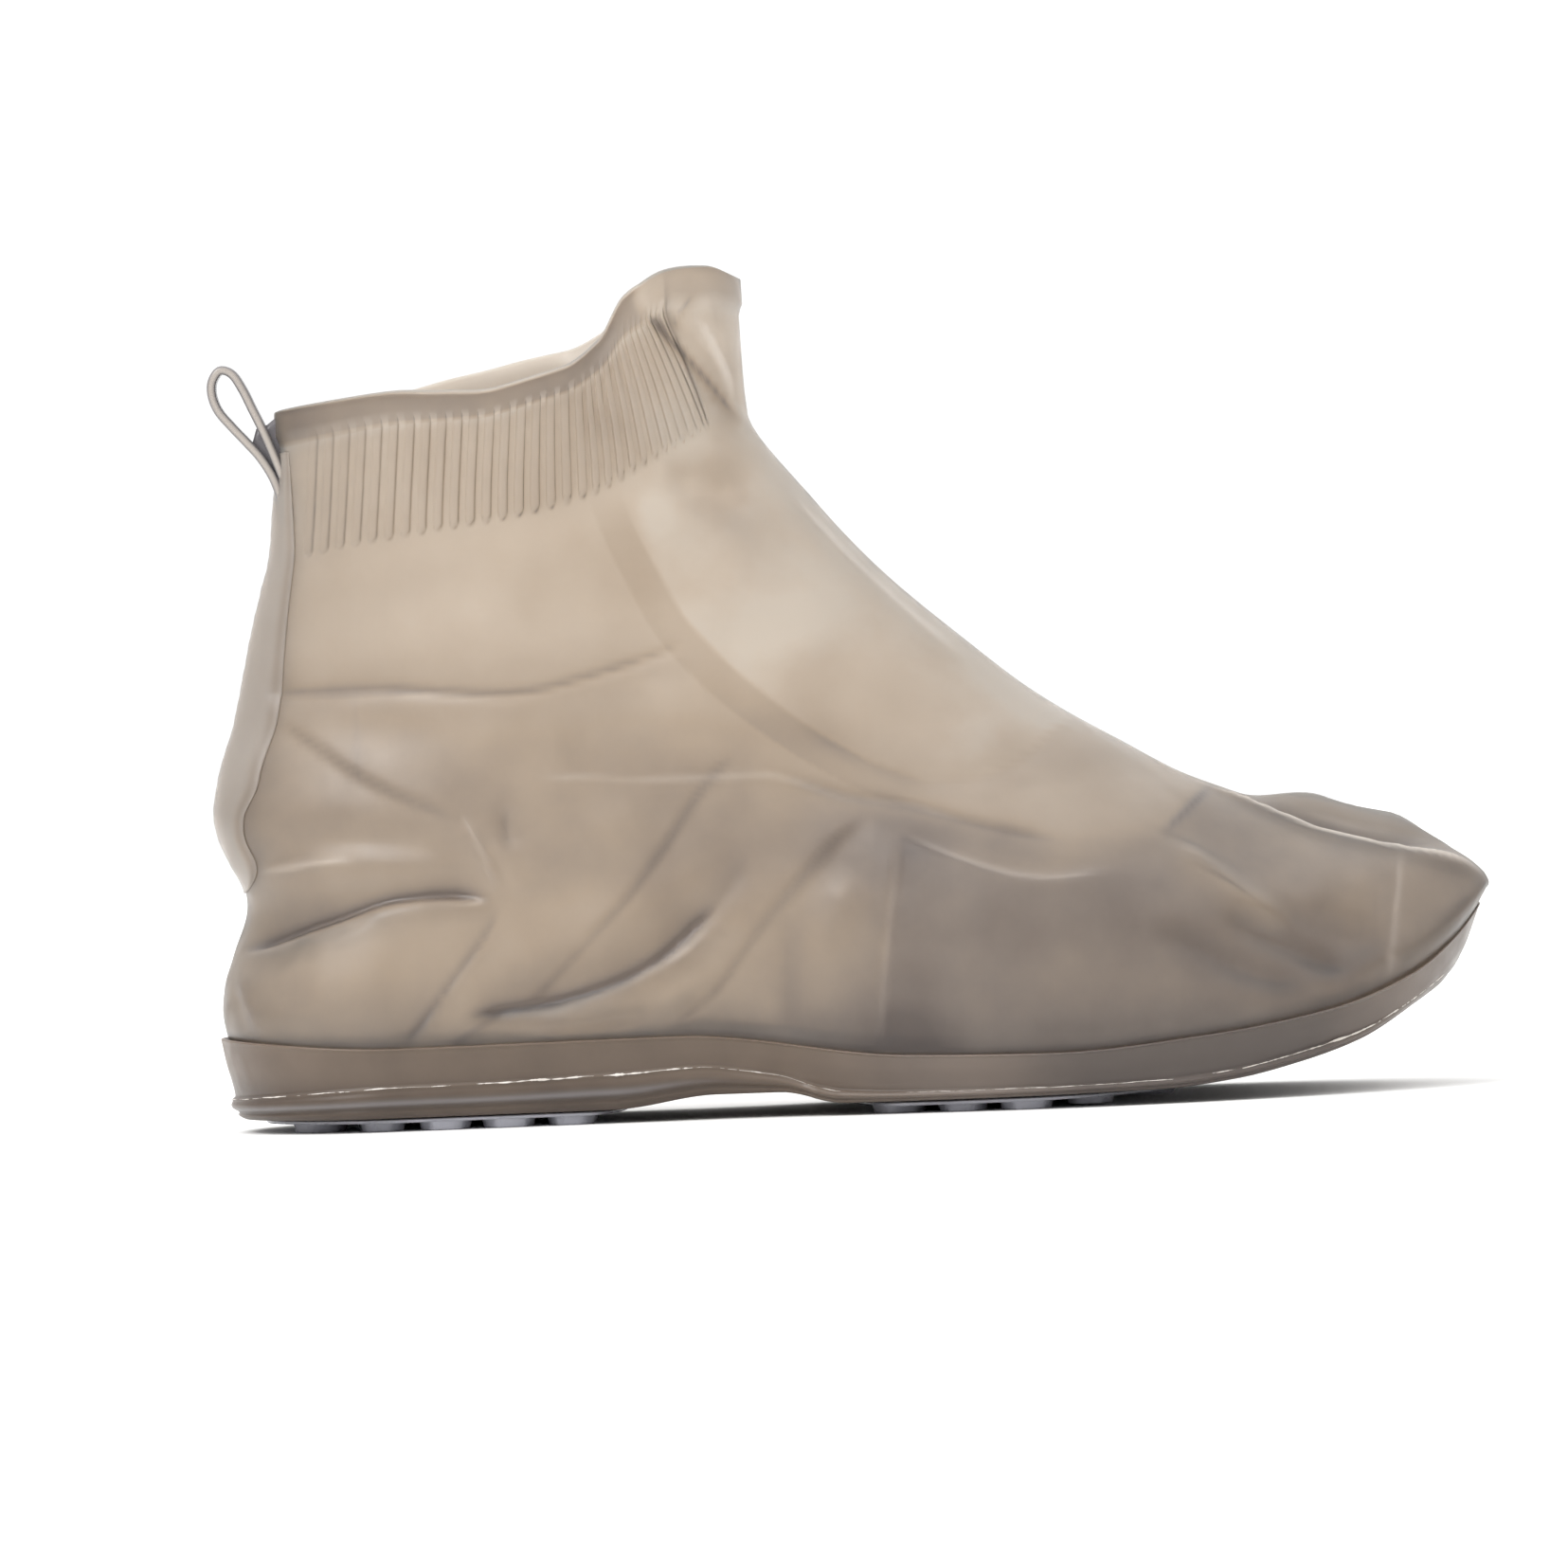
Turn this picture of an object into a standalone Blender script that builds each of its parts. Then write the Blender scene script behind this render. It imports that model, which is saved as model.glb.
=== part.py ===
# Silicone boot cover for one foot: a slack, hollow upper on a lugged sole tray,
# with a heel strip and a pull loop.
# Tables and constants are in millimetres: x from the heel's back to the toe, z up from the floor,
# minus y is the outer side of the foot. MM turns them into metres when a mesh is made.

import math
from collections import namedtuple

import bmesh
import bpy
import numpy as np

MM = 0.001

# Driving sizes
LENGTH = 278.0          # heel to toe tip
BALL_HALF_WIDTH = 51.0  # half of the upper's width at the ball of the foot
WALL = 1.4              # wall of the upper
HEM_WALL = 2.0          # thicker wall of the smooth hem at the mouth
GAP = 0.3               # gap between pieces that meet
SKIRT_GAP = 1.2         # gap at the foot of the upper's skirt, inside the sole tray

# Sole tray
FOXING_PROUD = 1.6      # how far the side wall's top edge stands outside the upper
FLOOR_THICK = 3.0
RIM_ROUND = 1.5         # rounding of the lower rim
RIM_TUCK = 1.5          # how far the lower rim sits inside the foxing line
TOE_TUCK = 6.5          # further tuck under the toe, like a bow
TOE_TUCK_FROM = 215.0
FLASH_SHARE = 0.3       # height of the mould's parting line on the side wall
FLASH_PROUD = 0.4

# Tread pads
PAD_INSET = 3.6         # from the sole's edge
PAD_PLATE = 0.8
LUG_RADIUS = 6.4
LUG_PITCH = 13.7        # from row to row
LUG_SPACE = 12.6        # least distance between lugs in a row
LUG_TAPER = 0.9         # lug foot against lug root
LUG_BITE = 0.4          # how far a lug runs into its plate
LUG_SIDES = 6

# Heel strip and pull loop
STRIP_THICK = 1.0
LOOP_THICK = 1.3
LOOP_WIDTH = 9.0
LOOP_RADIUS = 3.7       # of the strap's middle line at the loop's head
LOOP_LENGTH = 19.5      # from the loop's root to its tip
LOOP_LEAN = math.radians(32.5)
LOOP_ROOT_Z = 150.0
LOOP_TAIL_Z = 137.0

# Mesh fineness
COLUMNS = 56
RINGS = 26
STRIP_COLUMNS = 10
STRIP_RINGS = 16
LOOP_ARC_STEPS = 16

# Plan of the foot: half width and middle line by share of the length.
# The middle line bends to the inner side.
Plan = namedtuple("Plan", "share half_width middle")
PLAN = [
    Plan(0.00, 36.0, 0.0),
    Plan(0.13, 36.5, 0.0),
    Plan(0.38, 34.5, -2.5),
    Plan(0.66, 51.0, 0.0),
    Plan(0.82, 48.0, 4.0),
    Plan(1.00, 42.0, 8.0),
]

# Sole heights along the length: underside with arch and toe spring, and the foxing line on the upper
Height = namedtuple("Height", "x z")
UNDERSIDE = [
    Height(0, 3.0),
    Height(86, 3.0),
    Height(108, 5.0),
    Height(122, 5.0),
    Height(136, 2.4),
    Height(204, 2.4),
    Height(220, 3.8),
    Height(234, 6.8),
    Height(248, 11.8),
    Height(262, 19.2),
    Height(278, 31.5),
]
FOXING_LINE = [
    Height(0, 19.5),
    Height(40, 17.0),
    Height(100, 17.5),
    Height(150, 11.8),
    Height(182, 11.3),
    Height(214, 13.8),
    Height(242, 18.4),
    Height(260, 25.0),
    Height(278, 37.5),
]

# Rings of the upper from the foxing line to the collar. Each ring runs from a point on the back line
# to a point on the front line. shaft: 0 keeps the foot's plan, 1 an oval. back_arc and front_arc:
# share of the ring that rounds off at each end. pinch: how pointed the back is.
Level = namedtuple(
    "Level",
    "name rise back_x back_z front_x front_z half_width shaft back_arc front_arc pinch",
)
LEVELS = [
    Level("foxing", 0.00, 1.8, 19.5, 275.0, 36.8, 51.0, 0.0, 0.13, 0.25, 0.0),
    Level("swell", 0.07, 0.8, 28.0, 278.0, 43.5, 51.3, 0.0, 0.14, 0.27, 0.0),
    Level("heel fold", 0.22, 7.0, 50.0, 245.0, 61.5, 46.0, 0.2, 0.18, 0.40, 0.1),
    Level("counter", 0.36, 1.8, 69.0, 214.0, 70.0, 40.0, 0.5, 0.28, 0.47, 0.2),
    Level("ankle", 0.50, 4.6, 88.0, 183.0, 87.5, 36.0, 0.8, 0.40, 0.52, 0.3),
    Level("shin", 0.66, 10.2, 109.0, 150.0, 114.5, 34.0, 1.0, 0.46, 0.52, 0.4),
    Level("rib foot", 0.80, 14.2, 126.0, 120.0, 152.0, 32.0, 1.0, 0.48, 0.45, 0.4),
    Level("hem foot", 0.95, 16.6, 150.0, 120.0, 175.5, 31.5, 1.0, 0.48, 0.26, 0.4),
    Level("collar", 1.00, 17.2, 157.4, 119.8, 183.0, 32.0, 1.0, 0.48, 0.24, 0.4),
]
SAG_END = 0.5           # rise where rings stop following the foxing line's curve
MOUTH_FROM = 0.80       # rise where the mouth's wave starts
HEM_FROM = 0.95

# Wave of the collar's edge from back to front: it dips at the side and curls up at the front
Wave = namedtuple("Wave", "share lift")
COLLAR_WAVE = [
    Wave(0.00, 0.0),
    Wave(0.25, -3.6),
    Wave(0.48, -9.6),
    Wave(0.62, -9.4),
    Wave(0.70, -6.5),
    Wave(0.76, 1.5),
    Wave(0.85, 6.0),
    Wave(0.93, 4.5),
    Wave(1.00, 0.0),
]

# Heel strip from its lower end up: how far it reaches forward from the back line, seen from the side
Strip = namedtuple("Strip", "rise reach")
STRIP = [
    Strip(0.27, 5.0),
    Strip(0.36, 8.0),
    Strip(0.50, 10.0),
    Strip(0.66, 9.0),
    Strip(0.80, 7.5),
    Strip(0.95, 6.0),
]

# Tread pads: x range, and share of the pad that rounds off at each end
Pad = namedtuple("Pad", "name start end back_arc front_arc")
HEEL_PAD = Pad("heel_tread", 9.5, 89.0, 0.45, 0.12)
FOREFOOT_PAD = Pad("forefoot_tread", 137.0, 213.0, 0.14, 0.50)

SHARP_ANGLE = math.radians(40)


def curve_through(rows, key, column, where):
    """Smooth curve through one column of a table, with no overshoot between rows."""
    knots = np.array([getattr(row, key) for row in rows], float)
    values = np.array([getattr(row, column) for row in rows], float)
    step = np.diff(knots)
    rise = np.diff(values) / step
    slope = np.zeros_like(values)
    slope[0] = rise[0]
    slope[-1] = rise[-1]
    same_way = rise[:-1] * rise[1:] > 0
    harmonic = 2 * rise[:-1] * rise[1:] / np.where(same_way, rise[:-1] + rise[1:], 1)
    slope[1:-1] = np.where(same_way, harmonic, 0)
    at = np.clip(np.searchsorted(knots, where) - 1, 0, len(step) - 1)
    t = np.clip((where - knots[at]) / step[at], 0, 1)
    start = values[at] + t * t * (3 - 2 * t) * (values[at + 1] - values[at])
    bend = t * (1 - t) * ((1 - t) * slope[at] - t * slope[at + 1]) * step[at]
    return start + bend


def mix(low, high, share):
    return low + (high - low) * share


def end_round(share, back_arc, front_arc, pinch):
    """1 along the middle of a ring, falling to 0 at both ends like an ellipse."""
    back = np.clip(1 - share / back_arc, 0, 1)
    front = np.clip((share - 1) / front_arc + 1, 0, 1)
    return np.sqrt(1 - back**2) * (1 - pinch * back**2) * np.sqrt(1 - front**2)


def half_width_at(x):
    return curve_through(PLAN, "share", "half_width", x / LENGTH)


def middle_at(x):
    return curve_through(PLAN, "share", "middle", x / LENGTH)


def upper_point(rise, turn):
    """Outer face of the upper: turn 0 at the heel's back, 0.25 on the outer side, 0.5 at the toe."""
    rise, turn = np.broadcast_arrays(np.asarray(rise, float), np.asarray(turn, float))
    angle = 2 * math.pi * turn
    share = (1 - np.cos(angle)) / 2
    side = -np.sign(np.sin(angle))
    row = {name: curve_through(LEVELS, "rise", name, rise) for name in Level._fields[2:]}
    x = mix(row["back_x"], row["front_x"], share)
    foxing = LEVELS[0]
    sag = mix(foxing.back_z, foxing.front_z, (x - foxing.back_x) / (foxing.front_x - foxing.back_x))
    sag = sag - curve_through(FOXING_LINE, "x", "z", x)
    follow = np.clip(1 - rise / SAG_END, 0, 1) ** 2
    mouth = np.clip((rise - MOUTH_FROM) / (1 - MOUTH_FROM), 0, 1)
    z = mix(row["back_z"], row["front_z"], share) - sag * follow
    z = z + mouth * curve_through(COLLAR_WAVE, "share", "lift", share)
    fullness = mix(half_width_at(x) / BALL_HALF_WIDTH, 1, row["shaft"]) * row["half_width"]
    rounded = end_round(share, row["back_arc"], row["front_arc"], row["pinch"])
    y = side * fullness * rounded + middle_at(x) * (1 - row["shaft"])
    return np.stack([x, y, z], axis=-1)


def upper_normal(rise, turn):
    """Outward direction on the upper's outer face."""
    step = 0.002
    low = np.clip(np.asarray(rise, float) - step, 0, 1)
    high = np.clip(np.asarray(rise, float) + step, 0, 1)
    up = upper_point(high, turn) - upper_point(low, turn)
    along = upper_point(rise, np.asarray(turn) + step) - upper_point(rise, np.asarray(turn) - step)
    out = np.cross(along, up)
    return out / np.linalg.norm(out, axis=-1, keepdims=True)


def outset(ring, distance):
    """Moves a closed ring outward in plan by a distance for each of its points."""
    along = np.roll(ring, -1, axis=0) - np.roll(ring, 1, axis=0)
    out = np.stack([along[:, 1], -along[:, 0]], axis=-1)
    out /= np.linalg.norm(out, axis=-1, keepdims=True)
    moved = ring.copy()
    moved[:, :2] += out * np.broadcast_to(distance, len(ring))[:, None]
    return moved


def at_height(ring, heights):
    moved = ring.copy()
    moved[:, 2] = heights
    return moved


def underside(ring):
    return curve_through(UNDERSIDE, "x", "z", ring[:, 0])


TURNS = np.arange(COLUMNS) / COLUMNS
FOXING_RING = upper_point(0.0, TURNS)
MIDDLE_Y = (FOXING_RING[:, 1].max() + FOXING_RING[:, 1].min()) / 2
TUCK_SHARE = np.clip((FOXING_RING[:, 0] - TOE_TUCK_FROM) / (LENGTH - TOE_TUCK_FROM), 0, 1) ** 2
TUCK = RIM_TUCK + TOE_TUCK * TUCK_SHARE
SKIRT_RING = outset(FOXING_RING, -TUCK - RIM_ROUND)
SKIRT_FLOOR = underside(SKIRT_RING) + FLOOR_THICK


def to_metres(points):
    """From the tables' frame to the part's: middle of the length and width at 0."""
    placed = np.asarray(points, float) - np.array([LENGTH / 2, MIDDLE_Y, 0])
    return placed * MM


def add_object(name, points, faces, material):
    mesh = bpy.data.meshes.new(name)
    mesh.from_pydata(to_metres(points).tolist(), [], faces)
    bm = bmesh.new()
    bm.from_mesh(mesh)
    bmesh.ops.recalc_face_normals(bm, faces=bm.faces)
    bm.to_mesh(mesh)
    bm.free()
    mesh.materials.append(material)
    mesh.shade_smooth()
    mesh.set_sharp_from_angle(angle=SHARP_ANGLE)
    made = bpy.data.objects.new(name, mesh)
    bpy.context.collection.objects.link(made)
    return made


def silicone(name, colour, roughness):
    """Smoky translucent silicone, given as its sRGB colour."""
    material = bpy.data.materials.new(name)
    material.use_nodes = True
    shader = material.node_tree.nodes["Principled BSDF"]
    channels = [int(colour[i:i + 2], 16) / 255 for i in (1, 3, 5)]
    linear = [c / 12.92 if c <= 0.04045 else ((c + 0.055) / 1.055) ** 2.4 for c in channels]
    shader.inputs["Base Color"].default_value = (*linear, 1)
    shader.inputs["Roughness"].default_value = roughness
    shader.inputs["Metallic"].default_value = 0
    return material


def tube_faces(ring_count, columns):
    """Quads between stacked closed rings."""
    faces = []
    for ring in range(ring_count - 1):
        for column in range(columns):
            after = (column + 1) % columns
            low = ring * columns
            high = low + columns
            faces.append((low + column, low + after, high + after, high + column))
    return faces


def ladder_faces(first, columns):
    """Closes a ring across the foot, rung by rung, so that the face bends only along the length."""
    faces = [(first, first + 1, first + columns - 1)]
    for rung in range(1, columns // 2 - 1):
        mirrored = columns - rung
        faces.append((first + rung, first + rung + 1, first + mirrored - 1, first + mirrored))
    toe = columns // 2
    faces.append((first + toe - 1, first + toe, first + toe + 1))
    return faces


def wall_of(made, thickness, offset):
    solid = made.modifiers.new("wall", "SOLIDIFY")
    solid.thickness = thickness * MM
    solid.offset = offset
    solid.use_even_offset = True
    return solid


def make_upper():
    """Hollow wall from inside the sole tray to the collar, open at both ends, with a thicker hem."""
    rises = np.linspace(0, 1, RINGS)
    body = upper_point(rises[:, None], TURNS[None, :])
    skirt = at_height(SKIRT_RING, SKIRT_FLOOR + GAP)
    points = np.concatenate([skirt, body.reshape(-1, 3)])
    faces = tube_faces(RINGS + 1, COLUMNS)
    upper = add_object("upper", points, faces, silicone("upper_silicone", "#b7a797", 0.42))
    wall = wall_of(upper, HEM_WALL, -1)
    thickness = upper.vertex_groups.new(name="thickness")
    for ring, rise in enumerate([0.0, *rises]):
        share = 1.0 if rise >= HEM_FROM else WALL / HEM_WALL
        thickness.add(list(range(ring * COLUMNS, (ring + 1) * COLUMNS)), share, "REPLACE")
    wall.vertex_group = thickness.name


def make_outsole():
    """Sole tray: floor, rounded lower rim and side wall up to the foxing line, all round."""
    edge = outset(FOXING_RING, -TUCK - RIM_ROUND)
    edge = at_height(edge, underside(edge))
    rim = outset(FOXING_RING, -TUCK)
    rim = at_height(rim, underside(rim) + RIM_ROUND)
    lip_out = outset(FOXING_RING, FOXING_PROUD)
    flash = outset(mix(rim, lip_out, FLASH_SHARE), FLASH_PROUD)
    lip_in = outset(FOXING_RING, GAP)
    floor = at_height(outset(SKIRT_RING, SKIRT_GAP), SKIRT_FLOOR)
    rings = [edge, rim, flash, lip_out, lip_in, floor]
    faces = tube_faces(len(rings), COLUMNS)
    faces += ladder_faces(0, COLUMNS)
    faces += ladder_faces((len(rings) - 1) * COLUMNS, COLUMNS)
    add_object("outsole", np.concatenate(rings), faces, silicone("sole_silicone", "#7d6f64", 0.40))


def pad_ring(pad, turn):
    """Outline of a tread pad, parallel to the sole's edge and rounded at both ends."""
    angle = 2 * math.pi * np.asarray(turn, float)
    share = (1 - np.cos(angle)) / 2
    x = mix(pad.start, pad.end, share)
    half = (half_width_at(x) - PAD_INSET) * end_round(share, pad.back_arc, pad.front_arc, 0)
    return np.stack([x, middle_at(x) - np.sign(np.sin(angle)) * half], axis=-1)


def lug_places(pad):
    """Rows of lugs from one edge of their pad to the other."""
    places = []
    rows = int((pad.end - pad.start) // LUG_PITCH)
    first = (pad.start + pad.end - (rows - 1) * LUG_PITCH) / 2
    for row in range(rows):
        x = first + row * LUG_PITCH
        corners = np.array([x - LUG_RADIUS / 2, x + LUG_RADIUS / 2])
        share = np.clip((corners - pad.start) / (pad.end - pad.start), 0, 1)
        half = (half_width_at(corners) - PAD_INSET) * end_round(share, pad.back_arc, pad.front_arc, 0)
        room = half.min() - LUG_RADIUS * math.sin(math.pi / 3)
        count = int(2 * room // LUG_SPACE) + 1
        for y in np.linspace(-room, room, count):
            places.append((x, y + float(middle_at(x))))
    return places


def make_tread(pad):
    """Thin pad under the sole with six-sided lugs that all end on the floor."""
    top = float(curve_through(UNDERSIDE, "x", "z", (pad.start + pad.end) / 2)) - GAP
    outline = pad_ring(pad, TURNS)
    lower = np.column_stack([outline, np.full(COLUMNS, top - PAD_PLATE)])
    upper = np.column_stack([outline, np.full(COLUMNS, top)])
    faces = tube_faces(2, COLUMNS) + ladder_faces(0, COLUMNS) + ladder_faces(COLUMNS, COLUMNS)
    rubber = silicone(pad.name, "#86858a", 0.5)
    tread = add_object(pad.name, np.concatenate([lower, upper]), faces, rubber)
    root = top - PAD_PLATE + LUG_BITE
    points = []
    lug_faces = []
    for x, y in lug_places(pad):
        start = len(points)
        for radius, z in ((LUG_RADIUS * LUG_TAPER, 0.0), (LUG_RADIUS, root)):
            for corner in range(LUG_SIDES):
                angle = 2 * math.pi * corner / LUG_SIDES
                points.append((x + radius * math.cos(angle), y + radius * math.sin(angle), z))
        lug_faces.append(tuple(range(start, start + LUG_SIDES)))
        lug_faces.append(tuple(range(start + LUG_SIDES, start + 2 * LUG_SIDES)))
        lug_faces += [tuple(start + i for i in face) for face in tube_faces(2, LUG_SIDES)]
    lugs = add_object(pad.name + "_lugs", points, lug_faces, rubber)
    lugs.hide_render = True
    lugs.display_type = "WIRE"
    join = tread.modifiers.new("lugs", "BOOLEAN")
    join.operation = "UNION"
    join.object = lugs


def make_heel_strip():
    """Flat band down the back, cut from the upper's own form and standing proud of it."""
    rises = np.linspace(STRIP[0].rise, STRIP[-1].rise, STRIP_RINGS)[:, None]
    reach = curve_through(STRIP, "rise", "reach", rises)
    back = curve_through(LEVELS, "rise", "back_x", rises)
    front = curve_through(LEVELS, "rise", "front_x", rises)
    edge_turn = np.arccos(1 - 2 * reach / (front - back)) / (2 * math.pi)
    turns = edge_turn * np.linspace(-1, 1, STRIP_COLUMNS + 1)[None, :]
    points = upper_point(rises, turns) + GAP * upper_normal(rises, turns)
    width = STRIP_COLUMNS + 1
    faces = []
    for ring in range(STRIP_RINGS - 1):
        for column in range(STRIP_COLUMNS):
            corner = ring * width + column
            faces.append((corner, corner + 1, corner + width + 1, corner + width))
    material = silicone("strip_silicone", "#b0a193", 0.42)
    strip = add_object("heel_strip", points.reshape(-1, 3), faces, material)
    wall_of(strip, STRIP_THICK, 1)


def back_x_at(z):
    """Back line of the upper at a height."""
    back = upper_point(np.linspace(MOUTH_FROM, 1, RINGS), 0.0)
    return float(np.interp(z, back[:, 2], back[:, 0]))


def make_pull_loop():
    """Drop-shaped strap: a tail on the heel strip, two strands and a round head."""
    clear = GAP + STRIP_THICK + GAP
    tail_in = np.array([back_x_at(LOOP_TAIL_Z) - clear, LOOP_TAIL_Z])
    tail_out = tail_in - np.array([LOOP_THICK, 0])
    root = np.array([back_x_at(LOOP_ROOT_Z) - clear - LOOP_THICK / 2, LOOP_ROOT_Z])
    lean = math.pi / 2 + LOOP_LEAN
    axis = np.array([math.cos(lean), math.sin(lean)])
    head = root + axis * (LOOP_LENGTH - LOOP_RADIUS)
    spread = math.asin(LOOP_RADIUS / (LOOP_LENGTH - LOOP_RADIUS))
    arc = np.linspace(-math.pi / 2 - spread, math.pi / 2 + spread, LOOP_ARC_STEPS + 1) + lean
    round_head = np.stack([np.cos(arc), np.sin(arc)], axis=-1)
    half = LOOP_THICK / 2
    outer = head + round_head * (LOOP_RADIUS + half)
    inner = head + round_head * (LOOP_RADIUS - half)
    start = root + round_head[0] * half
    end = root + round_head[-1] * half
    crotch = root + axis * half / math.sin(spread)
    flat = np.concatenate([outer, inner, [start, end, crotch, tail_in, tail_out]])
    count = LOOP_ARC_STEPS + 1
    at_start, at_end, at_crotch, at_tail_in, at_tail_out = range(2 * count, 2 * count + 5)
    faces = [(i, i + 1, count + i + 1, count + i) for i in range(LOOP_ARC_STEPS)]
    faces.append((at_start, 0, count, at_crotch))
    faces.append((count - 1, at_end, at_crotch, 2 * count - 1))
    faces.append((at_start, at_crotch, at_end))
    faces.append((at_tail_in, at_start, at_end, at_tail_out))
    points = np.column_stack([flat[:, 0], np.zeros(len(flat)), flat[:, 1]])
    loop = add_object("pull_loop", points, faces, silicone("loop_silicone", "#bdb3a9", 0.38))
    wall_of(loop, LOOP_WIDTH, 0)


def main():
    for old in list(bpy.data.objects):
        bpy.data.objects.remove(old)
    make_upper()
    make_outsole()
    make_tread(HEEL_PAD)
    make_tread(FOREFOOT_PAD)
    make_heel_strip()
    make_pull_loop()


main()
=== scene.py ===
import math

import bmesh
import bpy
import numpy as np
from mathutils import Matrix, Vector


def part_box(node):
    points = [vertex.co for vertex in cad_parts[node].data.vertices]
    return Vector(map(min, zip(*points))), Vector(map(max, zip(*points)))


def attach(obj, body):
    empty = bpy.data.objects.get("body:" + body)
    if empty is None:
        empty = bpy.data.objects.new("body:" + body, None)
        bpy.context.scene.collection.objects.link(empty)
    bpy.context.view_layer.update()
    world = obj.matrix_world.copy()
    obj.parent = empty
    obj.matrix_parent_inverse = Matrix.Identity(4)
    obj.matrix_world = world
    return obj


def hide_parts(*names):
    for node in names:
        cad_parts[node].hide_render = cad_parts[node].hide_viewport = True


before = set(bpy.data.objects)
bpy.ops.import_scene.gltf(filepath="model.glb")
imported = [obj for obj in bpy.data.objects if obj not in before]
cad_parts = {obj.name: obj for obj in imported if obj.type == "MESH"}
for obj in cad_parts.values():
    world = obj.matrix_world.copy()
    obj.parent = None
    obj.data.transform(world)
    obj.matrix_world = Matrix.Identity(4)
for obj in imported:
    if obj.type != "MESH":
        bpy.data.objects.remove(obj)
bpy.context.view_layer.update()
mm = 0.001
print("frame loaded:", ", ".join(sorted(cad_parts)))

# The shoe's form in millimetres: x from the heel's back to the toe, z up from the floor,
# minus y is the side that faces the camera.
shoe = {
    "length": 278.0,
    "ballHalfWidth": 51.0,
    "plan": {
        "share": [0.00, 0.13, 0.38, 0.66, 0.82, 1.00],
        "halfWidth": [36.0, 36.5, 34.5, 51.0, 48.0, 42.0],
        "middle": [0.0, 0.0, -2.5, 0.0, 4.0, 8.0],
    },
    "underside": {
        "x": [0, 86, 108, 122, 136, 204, 220, 234, 248, 262, 278],
        "z": [3.0, 3.0, 5.4, 5.4, 2.7, 3.2, 4.6, 7.4, 11.6, 19.2, 28.4],
    },
    "foxingLine": {
        "x": [0, 40, 100, 150, 182, 214, 242, 260, 270, 278],
        "z": [20.9, 18.2, 18.5, 12.8, 12.2, 14.6, 19.0, 25.6, 32.6, 41.0],
    },
    # rings from the foxing line to the collar: swell, heel fold, counter, ankle, shin, rib foot, hem foot
    "levels": {
        "rise": [0.00, 0.05, 0.09, 0.14, 0.22, 0.36, 0.43, 0.50, 0.58, 0.66, 0.73, 0.80, 0.95, 1.00],
        "backX": [1.8, 0.8, 1.2, 3.4, 7.0, 1.8, 3.4, 6.6, 9.2, 11.7, 14.0, 16.2, 18.2, 18.4],
        "backZ": [19.5, 26.0, 31.0, 38.5, 50.0, 69.0, 78.5, 88.0, 98.5, 109.0, 117.5, 126.0, 150.0, 157.4],
        "frontX": [276.4, 279.0, 277.2, 269.5, 245.0, 214.0, 198.5, 183.0, 166.4, 150.0, 133.8,
                   120.4, 119.6, 119.4],
        "frontZ": [39.4, 42.4, 46.4, 55.4, 62.9, 71.0, 79.3, 88.8, 101.3, 115.2, 133.4, 152.5,
                   175.5, 183.0],
        "halfWidth": [51.0, 51.3, 50.8, 49.3, 46.0, 40.0, 37.9, 36.0, 34.9, 34.0, 33.0, 32.0, 31.5, 32.0],
        "shaft": [0.0, 0.0, 0.02, 0.08, 0.2, 0.5, 0.65, 0.8, 0.92, 1.0, 1.0, 1.0, 1.0, 1.0],
        "backArc": [0.13, 0.135, 0.145, 0.155, 0.18, 0.28, 0.34, 0.40, 0.43, 0.46, 0.47, 0.48, 0.48, 0.48],
        "frontArc": [0.25, 0.26, 0.29, 0.33, 0.40, 0.47, 0.50, 0.52, 0.52, 0.52, 0.49, 0.45, 0.26, 0.24],
        "pinch": [0.0, 0.0, 0.01, 0.04, 0.1, 0.2, 0.25, 0.3, 0.35, 0.4, 0.4, 0.4, 0.4, 0.4],
    },
    "collarWave": {
        "share": [0.00, 0.12, 0.25, 0.36, 0.48, 0.62, 0.70, 0.76, 0.85, 0.93, 1.00],
        "lift": [-0.9, -2.4, -4.4, -7.6, -10.4, -10.2, -6.8, 1.2, 4.4, 3.0, -1.4],
        # more on the side away from the camera
        "farLift": [0.0, -1.0, 0.0, 3.0, 5.2, 4.2, 2.4, 0.6, 0.0, 0.0, 0.0],
    },
    "sagEnd": 0.5,      # rise where rings stop following the foxing line
    "mouthFrom": 0.80,  # rise where the collar's wave starts
}
loopLow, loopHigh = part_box("pull_loop")
middleY = -(loopLow[1] + loopHigh[1]) / 2 / mm  # the loop sits on the tables' y = 0


def linear(hexColour):
    channels = [int(hexColour[i:i + 2], 16) / 255 for i in (1, 3, 5)]
    return tuple(c / 12.92 if c <= 0.04045 else ((c + 0.055) / 1.055) ** 2.4 for c in channels) + (1.0,)


def mix(low, high, share):
    return low + (high - low) * share


def smooth(low, high, value):
    t = np.clip((value - low) / (high - low), 0, 1)
    return t * t * (3 - 2 * t)


# 1 in the middle, falling off softly over a width
def bell(value, middle, width):
    return np.exp(-(((value - middle) / width) ** 2))


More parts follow.
